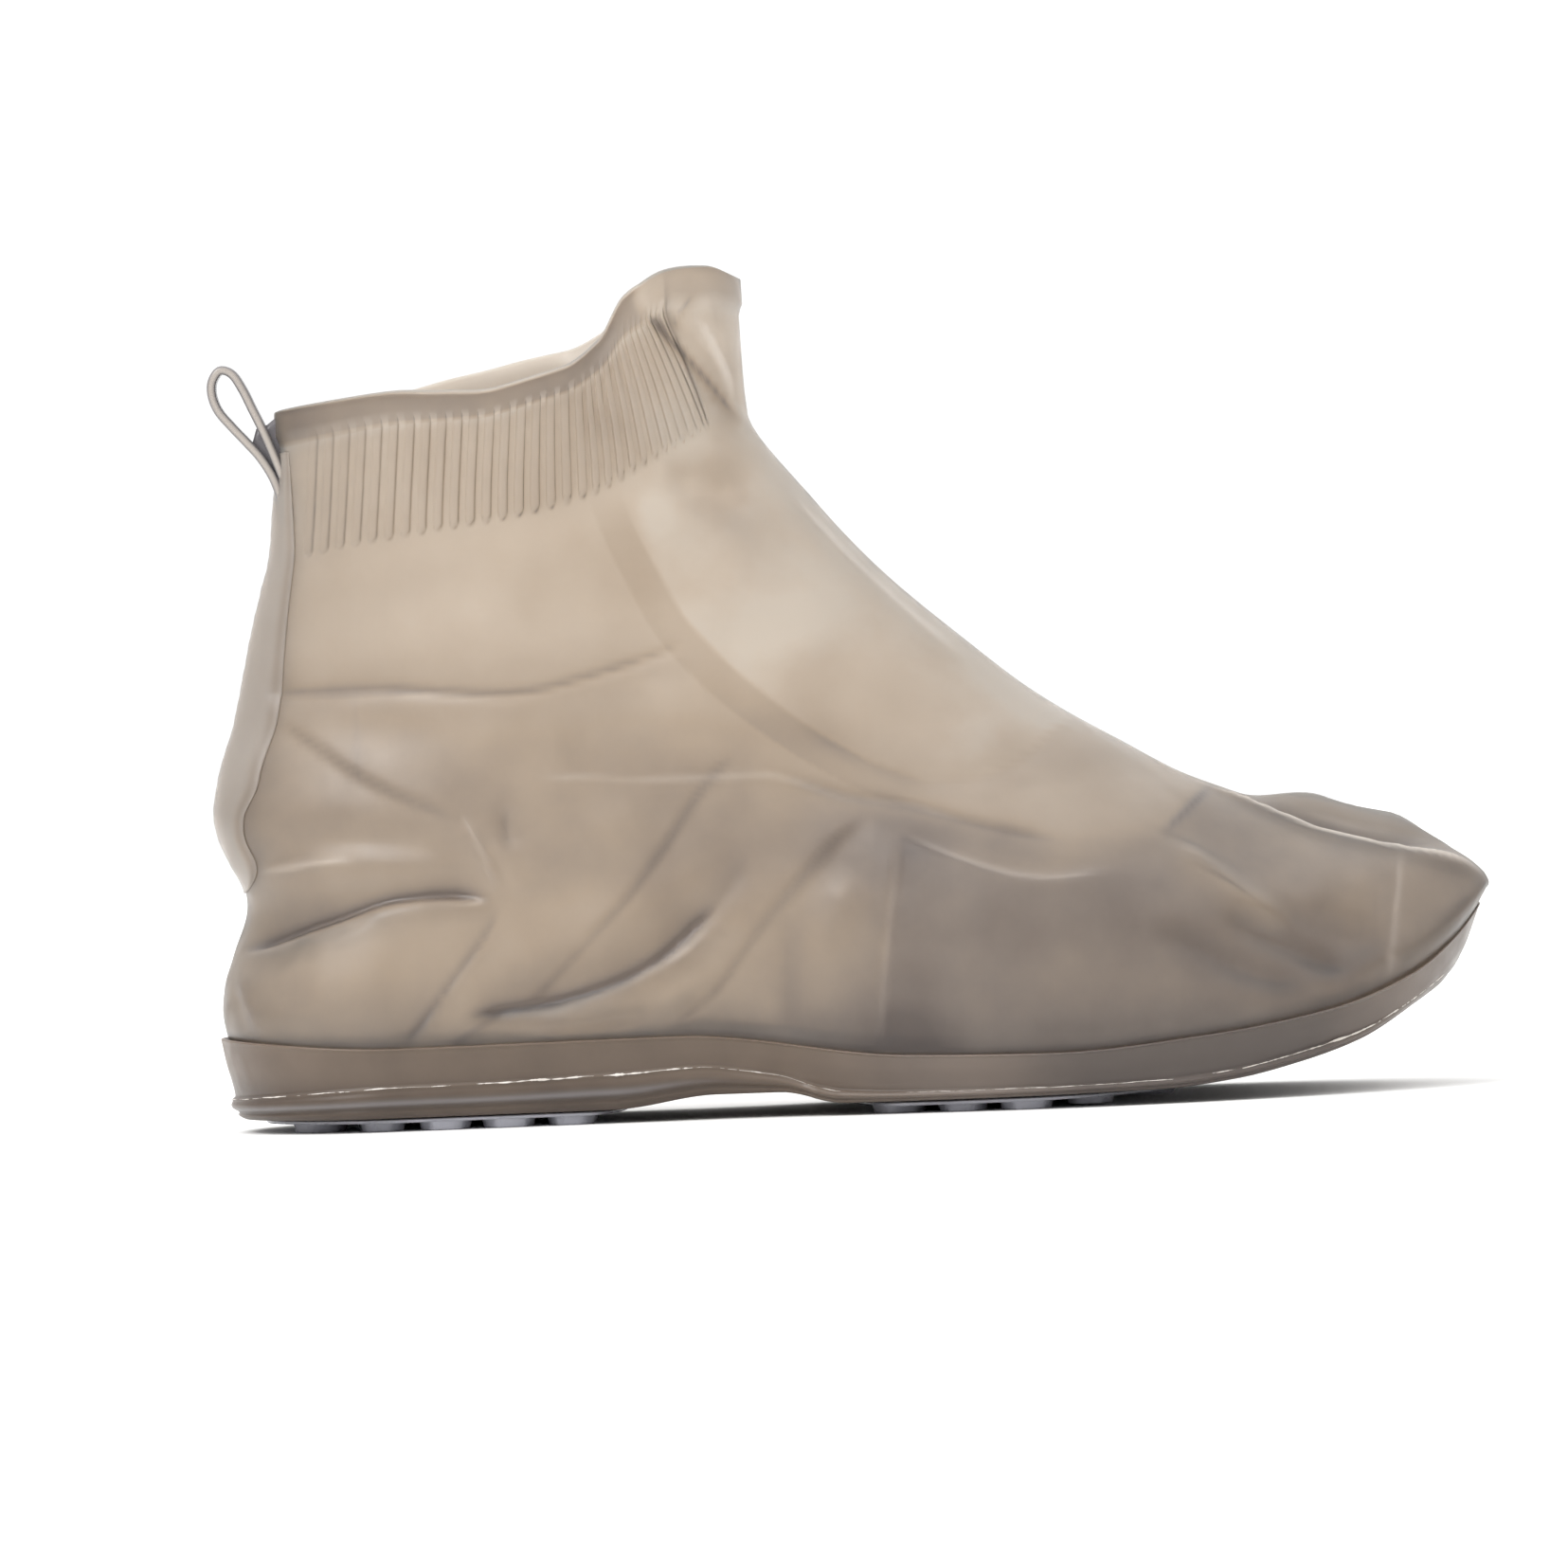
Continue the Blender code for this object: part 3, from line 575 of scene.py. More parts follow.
# the wall behind the forefoot, by height
wallShade = {"z": [0, 16, 20, 25, 30, 40, 46, 52, 58, 70, 82, 90, 98, 106, 116, 126, 140, 190],
             "tint": [0.56, 0.55, 0.50, 0.36, 0.31, 0.27, 0.30, 0.40, 0.46, 0.42, 0.33, 0.19, 0.09, 0.06,
                      0.11, 0.10, 0.04, 0.04]}
innerBand = softPath([(88.5, 138), (91, 130), (95, 120.6), (102.8, 105.7), (113.5, 93.9), (124.5, 84.9),
                      (137, 76.6), (150, 70.5), (163, 66)])
forefootBack = {"z": [14, 24, 40, 53, 60], "x": [143.4, 144.6, 146.6, 148.8, 150]}
ballTop = {"x": [150, 162, 173, 184, 197, 205, 210, 219, 236, 259, 280],
           "z": [60.5, 54.9, 50.9, 49.7, 52.5, 58, 63, 70, 66, 60, 52]}
forefootTop = {"x": [120, 138, 153, 168, 182, 200, 210, 219, 236, 259, 280],
               "z": [64, 68, 65, 61, 57.5, 58, 62, 70, 66, 60, 52]}
instepPanel = {"x": [94.3, 99.2, 105.5, 115.3, 128.5, 145.1, 155.3, 169, 179.4, 188.1, 200],
               "z": [130, 120.5, 108.2, 96.8, 85.2, 75.2, 72.1, 72.5, 77.2, 83.7, 94]}
# soft patches of painted light and shade, where more or less light comes through both walls or a dent lies
# in shade:
# x and z of the middle, reach along and up in mm, and tint
patches = {
    "counter": (40, 78, 26, 10, 0.08),
    "ankleBand": (74, 119, 16, 5, 0.07),
    "shaftLight": (52, 108, 22, 7, -0.06),
    "vampLight": (134, 116, 18, 14, -0.10),
    "instepShade": (158, 86, 14, 8, 0.05),
    "beforePanel": (132, 38, 15, 20, 0.14),
    "lowPanel": (140, 20, 14, 12, 0.04),
    "heelRoll": (34, 54, 20, 5, -0.24),
    "instepLight": (146, 74, 22, 10, -0.26),
    "ribLight": (107, 150, 9, 12, -0.20),
    "upperMiddle": (104, 70, 18, 14, 0.08),
    "waist": (112, 26, 14, 8, 0.08),
    "shinSpot": (114.5, 136.5, 5, 4, 0.22),
    "shinLight": (99.7, 130, 4, 5, -0.12),
    "foreMiddle": (185, 30, 26, 12, -0.09),
    "shaftLow": (30, 92, 30, 12, 0.10),
    "vampMiddle": (150, 98, 24, 12, 0.08),
    "heelLow": (28, 30, 22, 10, 0.12),
    "underSeam": (168, 60, 22, 5, 0.10),
}


# where each of these starts and ends: by x or z in mm, by rise, or by how far a wall faces the side
shadeReach = {
    "forefootWall": (146, 168),
    "wallTop": (105, 30),
    "lipLine": (0.012, 0.0),
    "forefootTop": (-5, 5),
    "forefootBack": (120, 160),
    "ballSoft": (178, 204),
    "ballSoftness": (1.0, 9.0),
    "ballEdge": (-0.8, 1.2),
    "toe": (185, 255),
    "bandEdge": (4.0, 3.0),
    "bandStart": (0, 10),
    "bandEnd": (0, 30),
    "panelEdge": (-0.5, 1.5),
    "panelBack": (94, 100),
    "panelTop": (0.77, 0.74),
    "hem": (0.95, 0.955),
    "hemLineFoot": (0.942, 0.95),
    "hemLineTop": (0.958, 0.95),
    "turnedAway": (0.75, 0.2),
    "turnedAwayFrom": (0.3, 0.42),
    "flapBack": (122.0, 97.0),
    "flapBackZ": (147, 178),
    "flapEdge": (-1, 2),
    "flapFoot": (0.78, 0.82),
}


def within(name, value):
    return smooth(*shadeReach[name], value)


# 1 on the collar's front flap, where the wall is thin
def flapShare(base, rise):
    foldX = mix(*shadeReach["flapBack"], within("flapBackZ", base[..., 2]))
    return within("flapEdge", base[..., 0] - foldX) * within("flapFoot", rise)


# how far the wall faces the camera's side, or with minus the other one
def facingNear(normal, side=1):
    return smooth(*upperBuild["facing"], -side * normal[..., 1])


# the slack wall before its ribs: place, outward direction, and depth of its folds, with their painted shade
# and painted highlights
def slackWall(rise, turn):
    base = upperPoint(rise, turn)
    normal = upperNormal(rise, turn)
    x, z = base[..., 0], base[..., 2]
    onNear = facingNear(normal)
    onFar = facingNear(normal, -1)
    near = foldField(nearFolds, nearEdges, x, z)
    far = foldField(farFolds, farEdges, x, z)
    top = foldField(topFolds, {}, x, base[..., 1])
    onTop = smooth(*upperBuild["topFacing"], normal[..., 2]) * smooth(*upperBuild["topFrom"], x)
    waves = slackWaves(base, upperBuild["waveSize"], upperBuild["waveSeed"]) * upperBuild["waveDepth"]
    ribbed = smooth(*upperBuild["ribbed"], rise)
    calm = smooth(*upperBuild["calm"], rise)
    depth, tint, frost = [n * onNear + f * onFar + t * onTop for n, f, t in zip(near, far, top)]
    return base, normal, (depth + waves * (1 - upperBuild["ribbedCalm"] * ribbed)) * calm, tint, frost


# the wall's depth of colour: its own tone where it is thicker or doubled, painted shadow under the lip,
# painted light along the instep's outline, and patches of painted light and shade
def colourDepth(base, normal, rise):
    x, z = base[..., 0], base[..., 2]
    onNear = facingNear(normal)
    behindBall = curveThrough(wallShade, "z", "tint", z)
    lowWall = mix(behindBall, shade["forefootWall"] * within("wallTop", z), within("forefootWall", x))
    # the forefoot's thicker wall: soft all round, with a panel in it that has a crisp edge behind and above
    forefoot = within("forefootTop", np.interp(x, forefootTop["x"], forefootTop["z"]) - z)
    forefoot = forefoot * within("forefootBack", x)
    soft = mix(*shadeReach["ballSoftness"], within("ballSoft", x))
    ball = within("ballEdge", x - np.interp(z, forefootBack["z"], forefootBack["x"]))
    ball = ball * within("ballEdge", (np.interp(x, ballTop["x"], ballTop["z"]) - z) / soft)
    forefootShade = shade["forefoot"] + shade["toe"] * within("toe", x)
    gap, along, total = beside(innerBand, x, z)
    band = within("bandEdge", np.abs(gap)) * within("bandStart", along) * within("bandEnd", total - along)
    panel = within("panelEdge", z - np.interp(x, instepPanel["x"], instepPanel["z"]))
    panel = panel * within("panelBack", x) * within("panelTop", rise)
    front = flapShare(base, rise)
    turnedAway = within("turnedAway", np.abs(normal[..., 1])) * within("turnedAwayFrom", rise)
    tint = shade["wall"] + lowWall + shade["lipLine"] * within("lipLine", rise)
    tint = tint + forefootShade * forefoot + shade["ball"] * ball
    tint = tint + (shade["innerBand"] * band + shade["instepPanel"] * panel) * onNear
    tint = tint + shade["collarFront"] * front
    tint = tint + (mix(shade["farHem"], 0, onNear) + shade["hem"] * (1 - front)) * within("hem", rise)
    tint = tint + shade["hemLine"] * within("hemLineFoot", rise) * within("hemLineTop", rise)
    tint = tint + shade["turnedAway"] * turnedAway * (1 - front)
    for middleX, middleZ, long, tall, patchTint in patches.values():
        away = ((x - middleX) / long) ** 2 + ((z - middleZ) / tall) ** 2
        tint = tint + patchTint * np.exp(-away) * onNear
    return tint


# how the ribs are worked out: each step is named, and its terms are numbers, sizes or steps above it
ribSteps = [
    # gap: 0 on a rib's middle, 1 between two ribs
    ("within", "WRAP", "ribPlace", 1.0, 0.0),
    ("offset", "SUBTRACT", "within", 0.5),
    ("away", "ABSOLUTE", "offset"),
    ("gap", "MULTIPLY", "away", 2.0),
    ("inside", "SUBTRACT", "Rib width", "Rib edge"),
    ("outside", "ADD", "Rib width", "Rib edge"),
    ("ridge", "SMOOTHSTEP", "gap", "inside", "outside", 1.0, 0.0),
    # rounded lower end: a rib's flanks start a little higher than its middle
    ("gapSquare", "POWER", "gap", 2.0),
    ("footLift", "MULTIPLY_ADD", "gapSquare", "Foot round", "ribFoot"),
    ("footTop", "ADD", "footLift", "Foot slope"),
    ("footFade", "SMOOTHSTEP", "rise", "footLift", "footTop"),
    ("afterBack", "GREATER_THAN", "ribPlace", 0.0),
    ("beforeFront", "LESS_THAN", "ribPlace", "Rib count"),
    ("field", "MULTIPLY", "afterBack", "beforeFront"),
    ("growth", "LINEAR", "ribPlace", 0.0, ribRows["grownBy"], "Back height", 1.0),
    ("ebb", "LINEAR", "ribPlace", *ribRows["ebb"], 1.0, "Front height"),
    ("share", "MULTIPLY", "growth", "ebb"),
    ("full", "MULTIPLY", "ridge", "share"),
    ("standing", "MULTIPLY", "full", "footFade"),
    ("ribbed", "MULTIPLY", "standing", "field"),
    ("hemTop", "ADD", "Hem foot", ribRows["hemSlope"]),
    ("hem", "SMOOTHSTEP", "rise", "Hem foot", "hemTop"),
    ("proud", "MAXIMUM", "ribbed", "hem"),
    ("height", "MULTIPLY", "proud", "Rib height"),
    # flank: most half way up a rib's side, where light is bent away, 0 on flat places
    ("slope", "MULTIPLY", "ribbed", "ribbed"),
    ("climb", "MULTIPLY", "ribbed", "share"),
    ("steep", "SUBTRACT", "climb", "slope"),
    ("side", "LINEAR", "offset", -ribRows["flankTurn"], ribRows["flankTurn"], "Lit flank", 1.0),
    ("bare", "SUBTRACT", 1.0, "hem"),
    ("shown", "MULTIPLY", "steep", "bare"),
    ("flank", "MULTIPLY", "shown", "side"),
]


def ribTree():
    tree, given = newTree("ribsAndHem", Float=ribs, Material=["Silicone"])
    known = {name: given[name] for name in ribs}
    for name in ("rise", "ribFoot", "ribPlace"):
        known[name] = addNode(tree, "GeometryNodeInputNamedAttribute", {"Name": name}, data_type="FLOAT")
    for name, operation, *terms in ribSteps:
        inputs = {place: known.get(term, term) for place, term in enumerate(terms)}
        if operation in ("LINEAR", "SMOOTHSTEP"):
            known[name] = addNode(tree, "ShaderNodeMapRange", inputs, interpolation_type=operation)
        else:
            known[name] = addNode(tree, "ShaderNodeMath", inputs, operation=operation)
    outward = addNode(tree, "GeometryNodeInputNamedAttribute", {"Name": "outward"}, data_type="FLOAT_VECTOR")
    move = addNode(tree, "ShaderNodeVectorMath", {0: outward, "Scale": known["height"]}, operation="SCALE")
    moved = addNode(tree, "GeometryNodeSetPosition", {"Geometry": given["Geometry"], "Offset": move})
    kept = addNode(tree, "GeometryNodeStoreNamedAttribute", {
        "Name": "flank", "Geometry": moved, "Value": known["flank"]}, data_type="FLOAT", domain="POINT")
    real = addNode(tree, "GeometryNodeRealizeInstances", {"Geometry": kept})
    dressed = addNode(tree, "GeometryNodeSetMaterial", {"Geometry": real, "Material": given["Silicone"]})
    addNode(tree, "NodeGroupOutput", {0: dressed})
    return tree


# faces between two closed rings, one of which may have several times the other's points
def ringFaces(low, high, lowCount, highCount):
    many, few = max(lowCount, highCount), min(lowCount, highCount)
    step = many // few
    i = np.arange(few)
    j = (i + 1) % few
    fine = [(i * step + k) % many for k in range(step + 1)]
    if lowCount >= highCount:
        corners = [low + f for f in fine] + [high + j, high + i]
    else:
        corners = [low + i, low + j] + [high + f for f in reversed(fine)]
    return np.stack(corners, axis=-1).tolist()


# each column's place among the ribs: the near side from back to front, then the far side back again
def columnPlaces():
    first, last, count = ribRows["rib"][0], ribRows["rib"][-1], int(ribs["Rib count"])
    sides = []
    for pitch, behind, before in (ribRows["near"], ribRows["far"]):
        back = first * (1 - np.linspace(0, 1, behind, endpoint=False) ** 2)
        front = last - (last - count) * np.linspace(1, 0, before) ** 2
        sides.append(np.concatenate([back, *[rib + np.array(pitch) for rib in range(count)], front]))
    return sides[0][:-1], sides[1][:0:-1]


# turns of every ring: along the ribs above their feet, and sharing the girth alike below
def columnTurns(rises):
    near, far = columnPlaces()
    place = np.concatenate([near, far])
    onFar = np.arange(len(place)) >= len(near)
    foot = int(np.searchsorted(rises, ribRows["from"]))
    turns = np.empty((len(rises), len(place)))
    for ring in range(foot, len(rises)):
        way = min((rises[ring] - rises[foot]) / (ribs["Hem foot"] - rises[foot]), 1)
        knots = mix(np.array(ribRows["footX"]), np.array(ribRows["hemX"]), way)
        knots[0] = curveThrough(shoe["levels"], "rise", "backX", rises[ring])
        knots[-1] = curveThrough(shoe["levels"], "rise", "frontX", rises[ring])
        share = (np.interp(place, ribRows["rib"], knots) - knots[0]) / (knots[-1] - knots[0])
        turned = np.arccos(1 - 2 * share) / (2 * math.pi)
        turns[ring] = np.where(onFar, 1 - turned, turned)
    girth = np.empty(len(place))
    for side, isFar in ((~onFar, False), (onFar, True)):
        along, length = halfGirth(rises[foot], isFar)
        girth[side] = np.interp(1 - turns[foot][side] if isFar else turns[foot][side], along, length)
    turns[:foot] = evenTurns(rises[:foot], girth[~onFar], girth[onFar])
    return turns, place, girth


def makeUpper(material):
    form = upperBuild
    step = form["innerStep"]
    hemFoot = ribs["Hem foot"]
    spans = zip(form["ringRise"][:-1], form["ringRise"][1:], form["ringCount"])
    rises = [np.linspace(low, high, count, endpoint=False) for low, high, count in spans]
    rises = np.concatenate(rises + [[1.0]])
    turns, place, girth = columnTurns(rises)
    riseGrid = np.broadcast_to(rises[:, None], turns.shape)
    base, normal, depth, tint, frost = slackWall(riseGrid, turns)
    outer = base + normal * depth[..., None]

    # inner wall on every third ring and column, behind the deepest place around it
    deep = depth.copy()
    rows = np.arange(len(rises))
    for ringStep in range(1 - step, step):
        for columnStep in range(1 - step, step):
            shifted = np.roll(depth, columnStep, axis=1)[np.clip(rows + ringStep, 0, len(rises) - 1)]
            deep = np.minimum(deep, shifted)
    hemmed = smooth(hemFoot - form["hemSoft"], hemFoot + form["hemSoft"], riseGrid)
    thick = mix(form["wall"], form["hemWall"], hemmed)
    turnedAway = smooth(*form["edgeFacing"], np.abs(normal[..., 1])) * smooth(*form["edgeFrom"], riseGrid)
    thick = thick * mix(1, form["edgeWall"], turnedAway)
    thick = thick * mix(1, form["flapWall"], flapShare(base, riseGrid))
    farTop = smooth(*form["humpFacing"], normal[..., 1]) * smooth(*form["topFacing"], normal[..., 2])
    thick = thick * mix(1, form["humpWall"], farTop * smooth(*form["humpFrom"], base[..., 0]))
    inner = (base + normal * (deep - thick)[..., None])[::-step, ::step]

    # rounded top of the hem, then the skirt inside the sole tray
    proud = ribs["Rib height"] / mm
    up = unit(outer[-1] - outer[-3])
    half = ((thick[-1] + proud) / 2)[:, None]
    rim = []
    for angle in np.radians(form["rimAngles"]):
        out = normal[-1] * (proud - half + half * math.cos(angle))
        rim.append(outer[-1] + out + up * half * form["rimFlat"] * math.sin(angle))
    inward = unit(-normal[0] * np.array([1, 1, 0]))
    skirtOut = outer[0] + inward * form["skirtIn"] - np.array([0, 0, form["skirtDrop"]])
    skirtIn = (skirtOut + inward * form["wall"])[::step]

    rings = [skirtOut, *outer, *rim, *inner, skirtIn]
    counts = [len(ring) for ring in rings]
    starts = np.concatenate([[0], np.cumsum(counts)[:-1]])
    faces = []
    for low in range(len(rings)):
        high = (low + 1) % len(rings)
        faces += ringFaces(starts[low], starts[high], counts[low], counts[high])
    points = np.concatenate(rings)
    piece = meshPiece("boot_upper", points, faces)

    first, last = counts[0], counts[0] + outer.shape[0] * outer.shape[1]
    outward = np.zeros((len(points), 3))
    outward[first:last] = normal.reshape(-1, 3)
    storeValues(piece, "outward", outward, "FLOAT_VECTOR")
    # tint carries painted shade in folds and painted light and shade in patches, the pale layer painted
    # highlights along crests and edges
    layers = {"rise": riseGrid, "ribPlace": place, "ribFoot": curveThrough(ribFoot, "girth", "rise", girth),
              "tint": tint + colourDepth(base, normal, riseGrid), "frost": frost}
    for name, values in layers.items():
        whole = np.zeros(len(points))
        whole[first:last] = np.broadcast_to(values, turns.shape).ravel()
        storeValues(piece, name, whole)
    runTree(piece, ribTree(), {**ribs, "Silicone": material})
    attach(piece, "root")
    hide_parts("upper")
    print("upper:", len(piece.data.polygons), "faces")


# Sole tray: side wall with a rounded lower rim, a mould line on it and a lip round the upper
sole = {
    "columns": 480,
    "lipProud": 1.6,
    "lipSlim": 0.8,         # share of that lost at the toe's tip
    "rimTuck": 1.5,
    "toeTuck": 5.0,
    "toeTuckFrom": 215.0,
    "floorThick": 3.0,
    "lowerBulge": 0.9,      # of the rim under the mould line
    "lowerGroove": 0.7,
    "stepBack": 0.45,       # of the wall above the mould line
    "lineRidge": 0.3,
    "edgeRound": 1.5,
    "toeRound": 2.4,
    "toeRoundShare": 0.6,   # of the wall's height at the toe's tip
    "lipRound": [(1.6, 0.35), (1.4, 0.1), (1.05, 0.0), (0.75, 0.05), (0.4, 0.25)],  # out and down, mm
    "waistStep": 128.0,     # where the forefoot's rim starts
    "waistProud": 1.0,
    # height of the mould line, share of the side wall
    "mouldLine": {"x": [0, 20, 40, 60, 90, 106, 120, 128, 150, 200, 240, 260, 278],
                  "share": [0.24, 0.36, 0.44, 0.45, 0.50, 0.48, 0.36, 0.26, 0.20, 0.20, 0.24, 0.28, 0.30]},
    "tint": 0.62,
    "heelTint": 0.06,
    "lowTint": 0.10,
    "lowHeelTint": 0.14,
    "foreTint": 0.40,       # between the waist and the toe
    "foreGrey": 0.12,
    "toeCalm": 0.9,         # share of the rim's relief lost at the toe's tip
    "rimSheen": 0.45,       # pale sheen on the rim under the heel
    # middle and width of the relief under the mould line, as shares of its height
    "bulgeAt": (0.66, 0.24),
    "grooveAt": (0.34, 0.10),
    "sheenAt": (0.50, 0.10),
    "ridgeWidth": 0.02,
    "roundShare": 0.3,
    "stepFrom": (1.0, 1.06),
    "stepTo": (0.75, 0.35),
    "waistIn": (-0.5, 0.6),
    "waistOut": (34, 2),
    "waistTop": (1.1, 0.9),
    # where along the shoe, or how far under the lip, these come and go, mm
    "slimFrom": (252, 274),
    "calmFrom": (235, 264),
    "heelTo": (140, 90),
    "lowFrom": (-6, -12),
    "foreFrom": (160, 196),
    "foreTo": (262, 226),
    "sheenTo": (118, 84),
    "greyFrom": (120, 160),
    # rings of the inside, which draw in further at the toe, and of the underside, mm
    "wallShares": ((0, 0.62, 34), (0.66, 0.97, 8)),
    "innerIn": 0.6,
    "innerToeIn": 2.6,
    "innerDrop": 4.0,
    "floorIn": 1.5,
    "floorToeIn": 6.5,
    "floorDrop": 5.0,
    "underIn": 2.5,
}


def outset(ring, distance):
    along = np.roll(ring, -1, axis=0) - np.roll(ring, 1, axis=0)
    out = unit(np.stack([along[:, 1], -along[:, 0], 0 * along[:, 0]], axis=-1))
    return ring + out * np.broadcast_to(distance, len(ring))[:, None]


def atHeight(ring, heights):
    return np.column_stack([ring[:, :2], np.broadcast_to(heights, len(ring))])


def foxingRing(columns):
    turns = evenTurns(np.array([0.0]), np.arange(columns // 2) * 2 / columns,
                      1 - np.arange(columns // 2) * 2 / columns)[0]
    return upperPoint(0.0, turns)


# how much of the lip is left: it slims towards the toe's tip
def lipShare(x):
    return 1 - sole["lipSlim"] * smooth(*sole["slimFrom"], x)


# 0 behind the toe, 1 at its tip
def toeward(x):
    return np.clip((x - sole["toeTuckFrom"]) / (shoe["length"] - sole["toeTuckFrom"]), 0, 1) ** 2


# a place on the side wall: share 0 at its foot, 1 at the lip
def sideWall(lip, share):
    x = lip[:, 0]
    toe = toeward(x)
    tuck = sole["rimTuck"] + sole["toeTuck"] * toe**2
    edgeRound = mix(sole["edgeRound"], sole["toeRound"], toe)
    low, high = undersideAt(outset(lip, -tuck - edgeRound)[:, 0]), lip[:, 2]
    line = curveThrough(sole["mouldLine"], "x", "share", x)
    below = share / line
    relief = 1 - sole["toeCalm"] * smooth(*sole["calmFrom"], x)
    bulge = sole["lowerBulge"] * bell(below, *sole["bulgeAt"])
    groove = sole["lowerGroove"] * bell(below, *sole["grooveAt"])
    setBack = sole["stepBack"] * smooth(*sole["stepFrom"], below) * smooth(*sole["stepTo"], share)
    ridge = sole["lineRidge"] * bell(share, line, sole["ridgeWidth"])
    roundShare = mix(sole["roundShare"] * line, sole["toeRoundShare"], toe)
    rounding = edgeRound * np.clip(1 - share / roundShare, 0, 1) ** 2
    pastStep = x - sole["waistStep"]
    waist = sole["waistProud"] * smooth(*sole["waistIn"], pastStep) * smooth(*sole["waistOut"], pastStep)
    waist = waist * smooth(*sole["waistTop"], below)
    out = mix(-tuck, sole["lipProud"] * lipShare(x), share) + waist - rounding
    out = out + (bulge - groove - setBack + ridge) * relief
    return atHeight(outset(lip, out), mix(low, high, share))


def makeSole(material):
    columns = sole["columns"]
    lip = foxingRing(columns)
    shares = np.concatenate([np.linspace(*span) for span in sole["wallShares"]])
    rings = [sideWall(lip, share) for share in shares]
    for out, drop in sole["lipRound"]:
        rings.append(outset(lip, out * lipShare(lip[:, 0])) - np.array([0, 0, drop]))
    toe = toeward(lip[:, 0]) ** 2
    floor = outset(lip, -sole["rimTuck"] - sole["floorIn"] - sole["floorToeIn"] * toe)
    floorTop = np.minimum(undersideAt(floor[:, 0]) + sole["floorThick"], lip[:, 2] - sole["floorDrop"])
    inner = outset(lip, -sole["innerIn"] - sole["innerToeIn"] * toe)
    rings.append(atHeight(inner, lip[:, 2] - sole["innerDrop"]))
    rings.append(atHeight(floor, floorTop))
    under = outset(rings[0], -sole["underIn"])
    rings.insert(0, atHeight(under, undersideAt(under[:, 0])))
    faces = tubeFaces(len(rings), columns)
    for start, flip in ((0, True), ((len(rings) - 1) * columns, False)):
        for rung in range(columns // 2):
            corners = [rung, rung + 1, columns - rung - 1, (columns - rung) % columns]
            corners = [start + corner for corner in dict.fromkeys(corners)]
            faces.append(corners[::-1] if flip else corners)
    points = np.concatenate(rings)
    piece = meshPiece("sole_tray", points, faces)
    x, z = points[:, 0], points[:, 2]
    lipZ = np.tile(lip[:, 2], len(rings))
    heel = smooth(*sole["heelTo"], x)
    lowTint = (sole["lowTint"] + sole["lowHeelTint"] * heel) * smooth(*sole["lowFrom"], z - lipZ)
    foreTint = sole["foreTint"] * smooth(*sole["foreFrom"], x) * smooth(*sole["foreTo"], x)
    storeValues(piece, "tint", sole["tint"] + sole["heelTint"] * heel + lowTint + foreTint)
    line = np.tile(curveThrough(sole["mouldLine"], "x", "share", lip[:, 0]), len(rings))
    low = undersideAt(x)
    below = (z - low) / (lipZ - low) / line
    # painted sheen along the rim under the heel, and the forefoot's own grey tone, mixed in as a grey
    sheen = sole["rimSheen"] * bell(below, *sole["sheenAt"]) * smooth(*sole["sheenTo"], x)
    storeValues(piece, "frost", sheen + sole["foreGrey"] * smooth(*sole["greyFrom"], x))
    piece.data.materials.append(material)
    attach(piece, "root")
    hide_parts("outsole")
    print("sole tray:", len(piece.data.polygons), "faces")


# Ragged bead of silicone that the mould's parting line leaves round the sole
mouldBead = {
    "Points": 1500,
    "Thickness": 0.34 * mm,
    "Raggedness": 0.85,
    "Wander": 0.7 * mm,
    "Seed": 4.0,
    "driftSize": 9 * mm,
    "driftDetail": 3.0,
    "tearSize": 5 * mm,
    "tearDetail": 5.0,
    "tearRoughness": 0.7,
    "tearRange": (0.46, 0.66),  # of the noise, from torn away to whole
    "roundPoints": 8,
    "sink": 0.1,    # mm into the side wall
}
# share of its thickness along the shoe
beadSize = {"x": [0, 20, 36, 52, 66, 80, 100, 108, 114, 124, 150, 190, 225, 245, 262, 278],
            "share": [0.4, 0.45, 0.5, 0.5, 1.0, 1.15, 1.0, 0.25, 0.8, 0.5, 0.4, 0.4, 0.6, 1.0, 0.9, 0.5]}


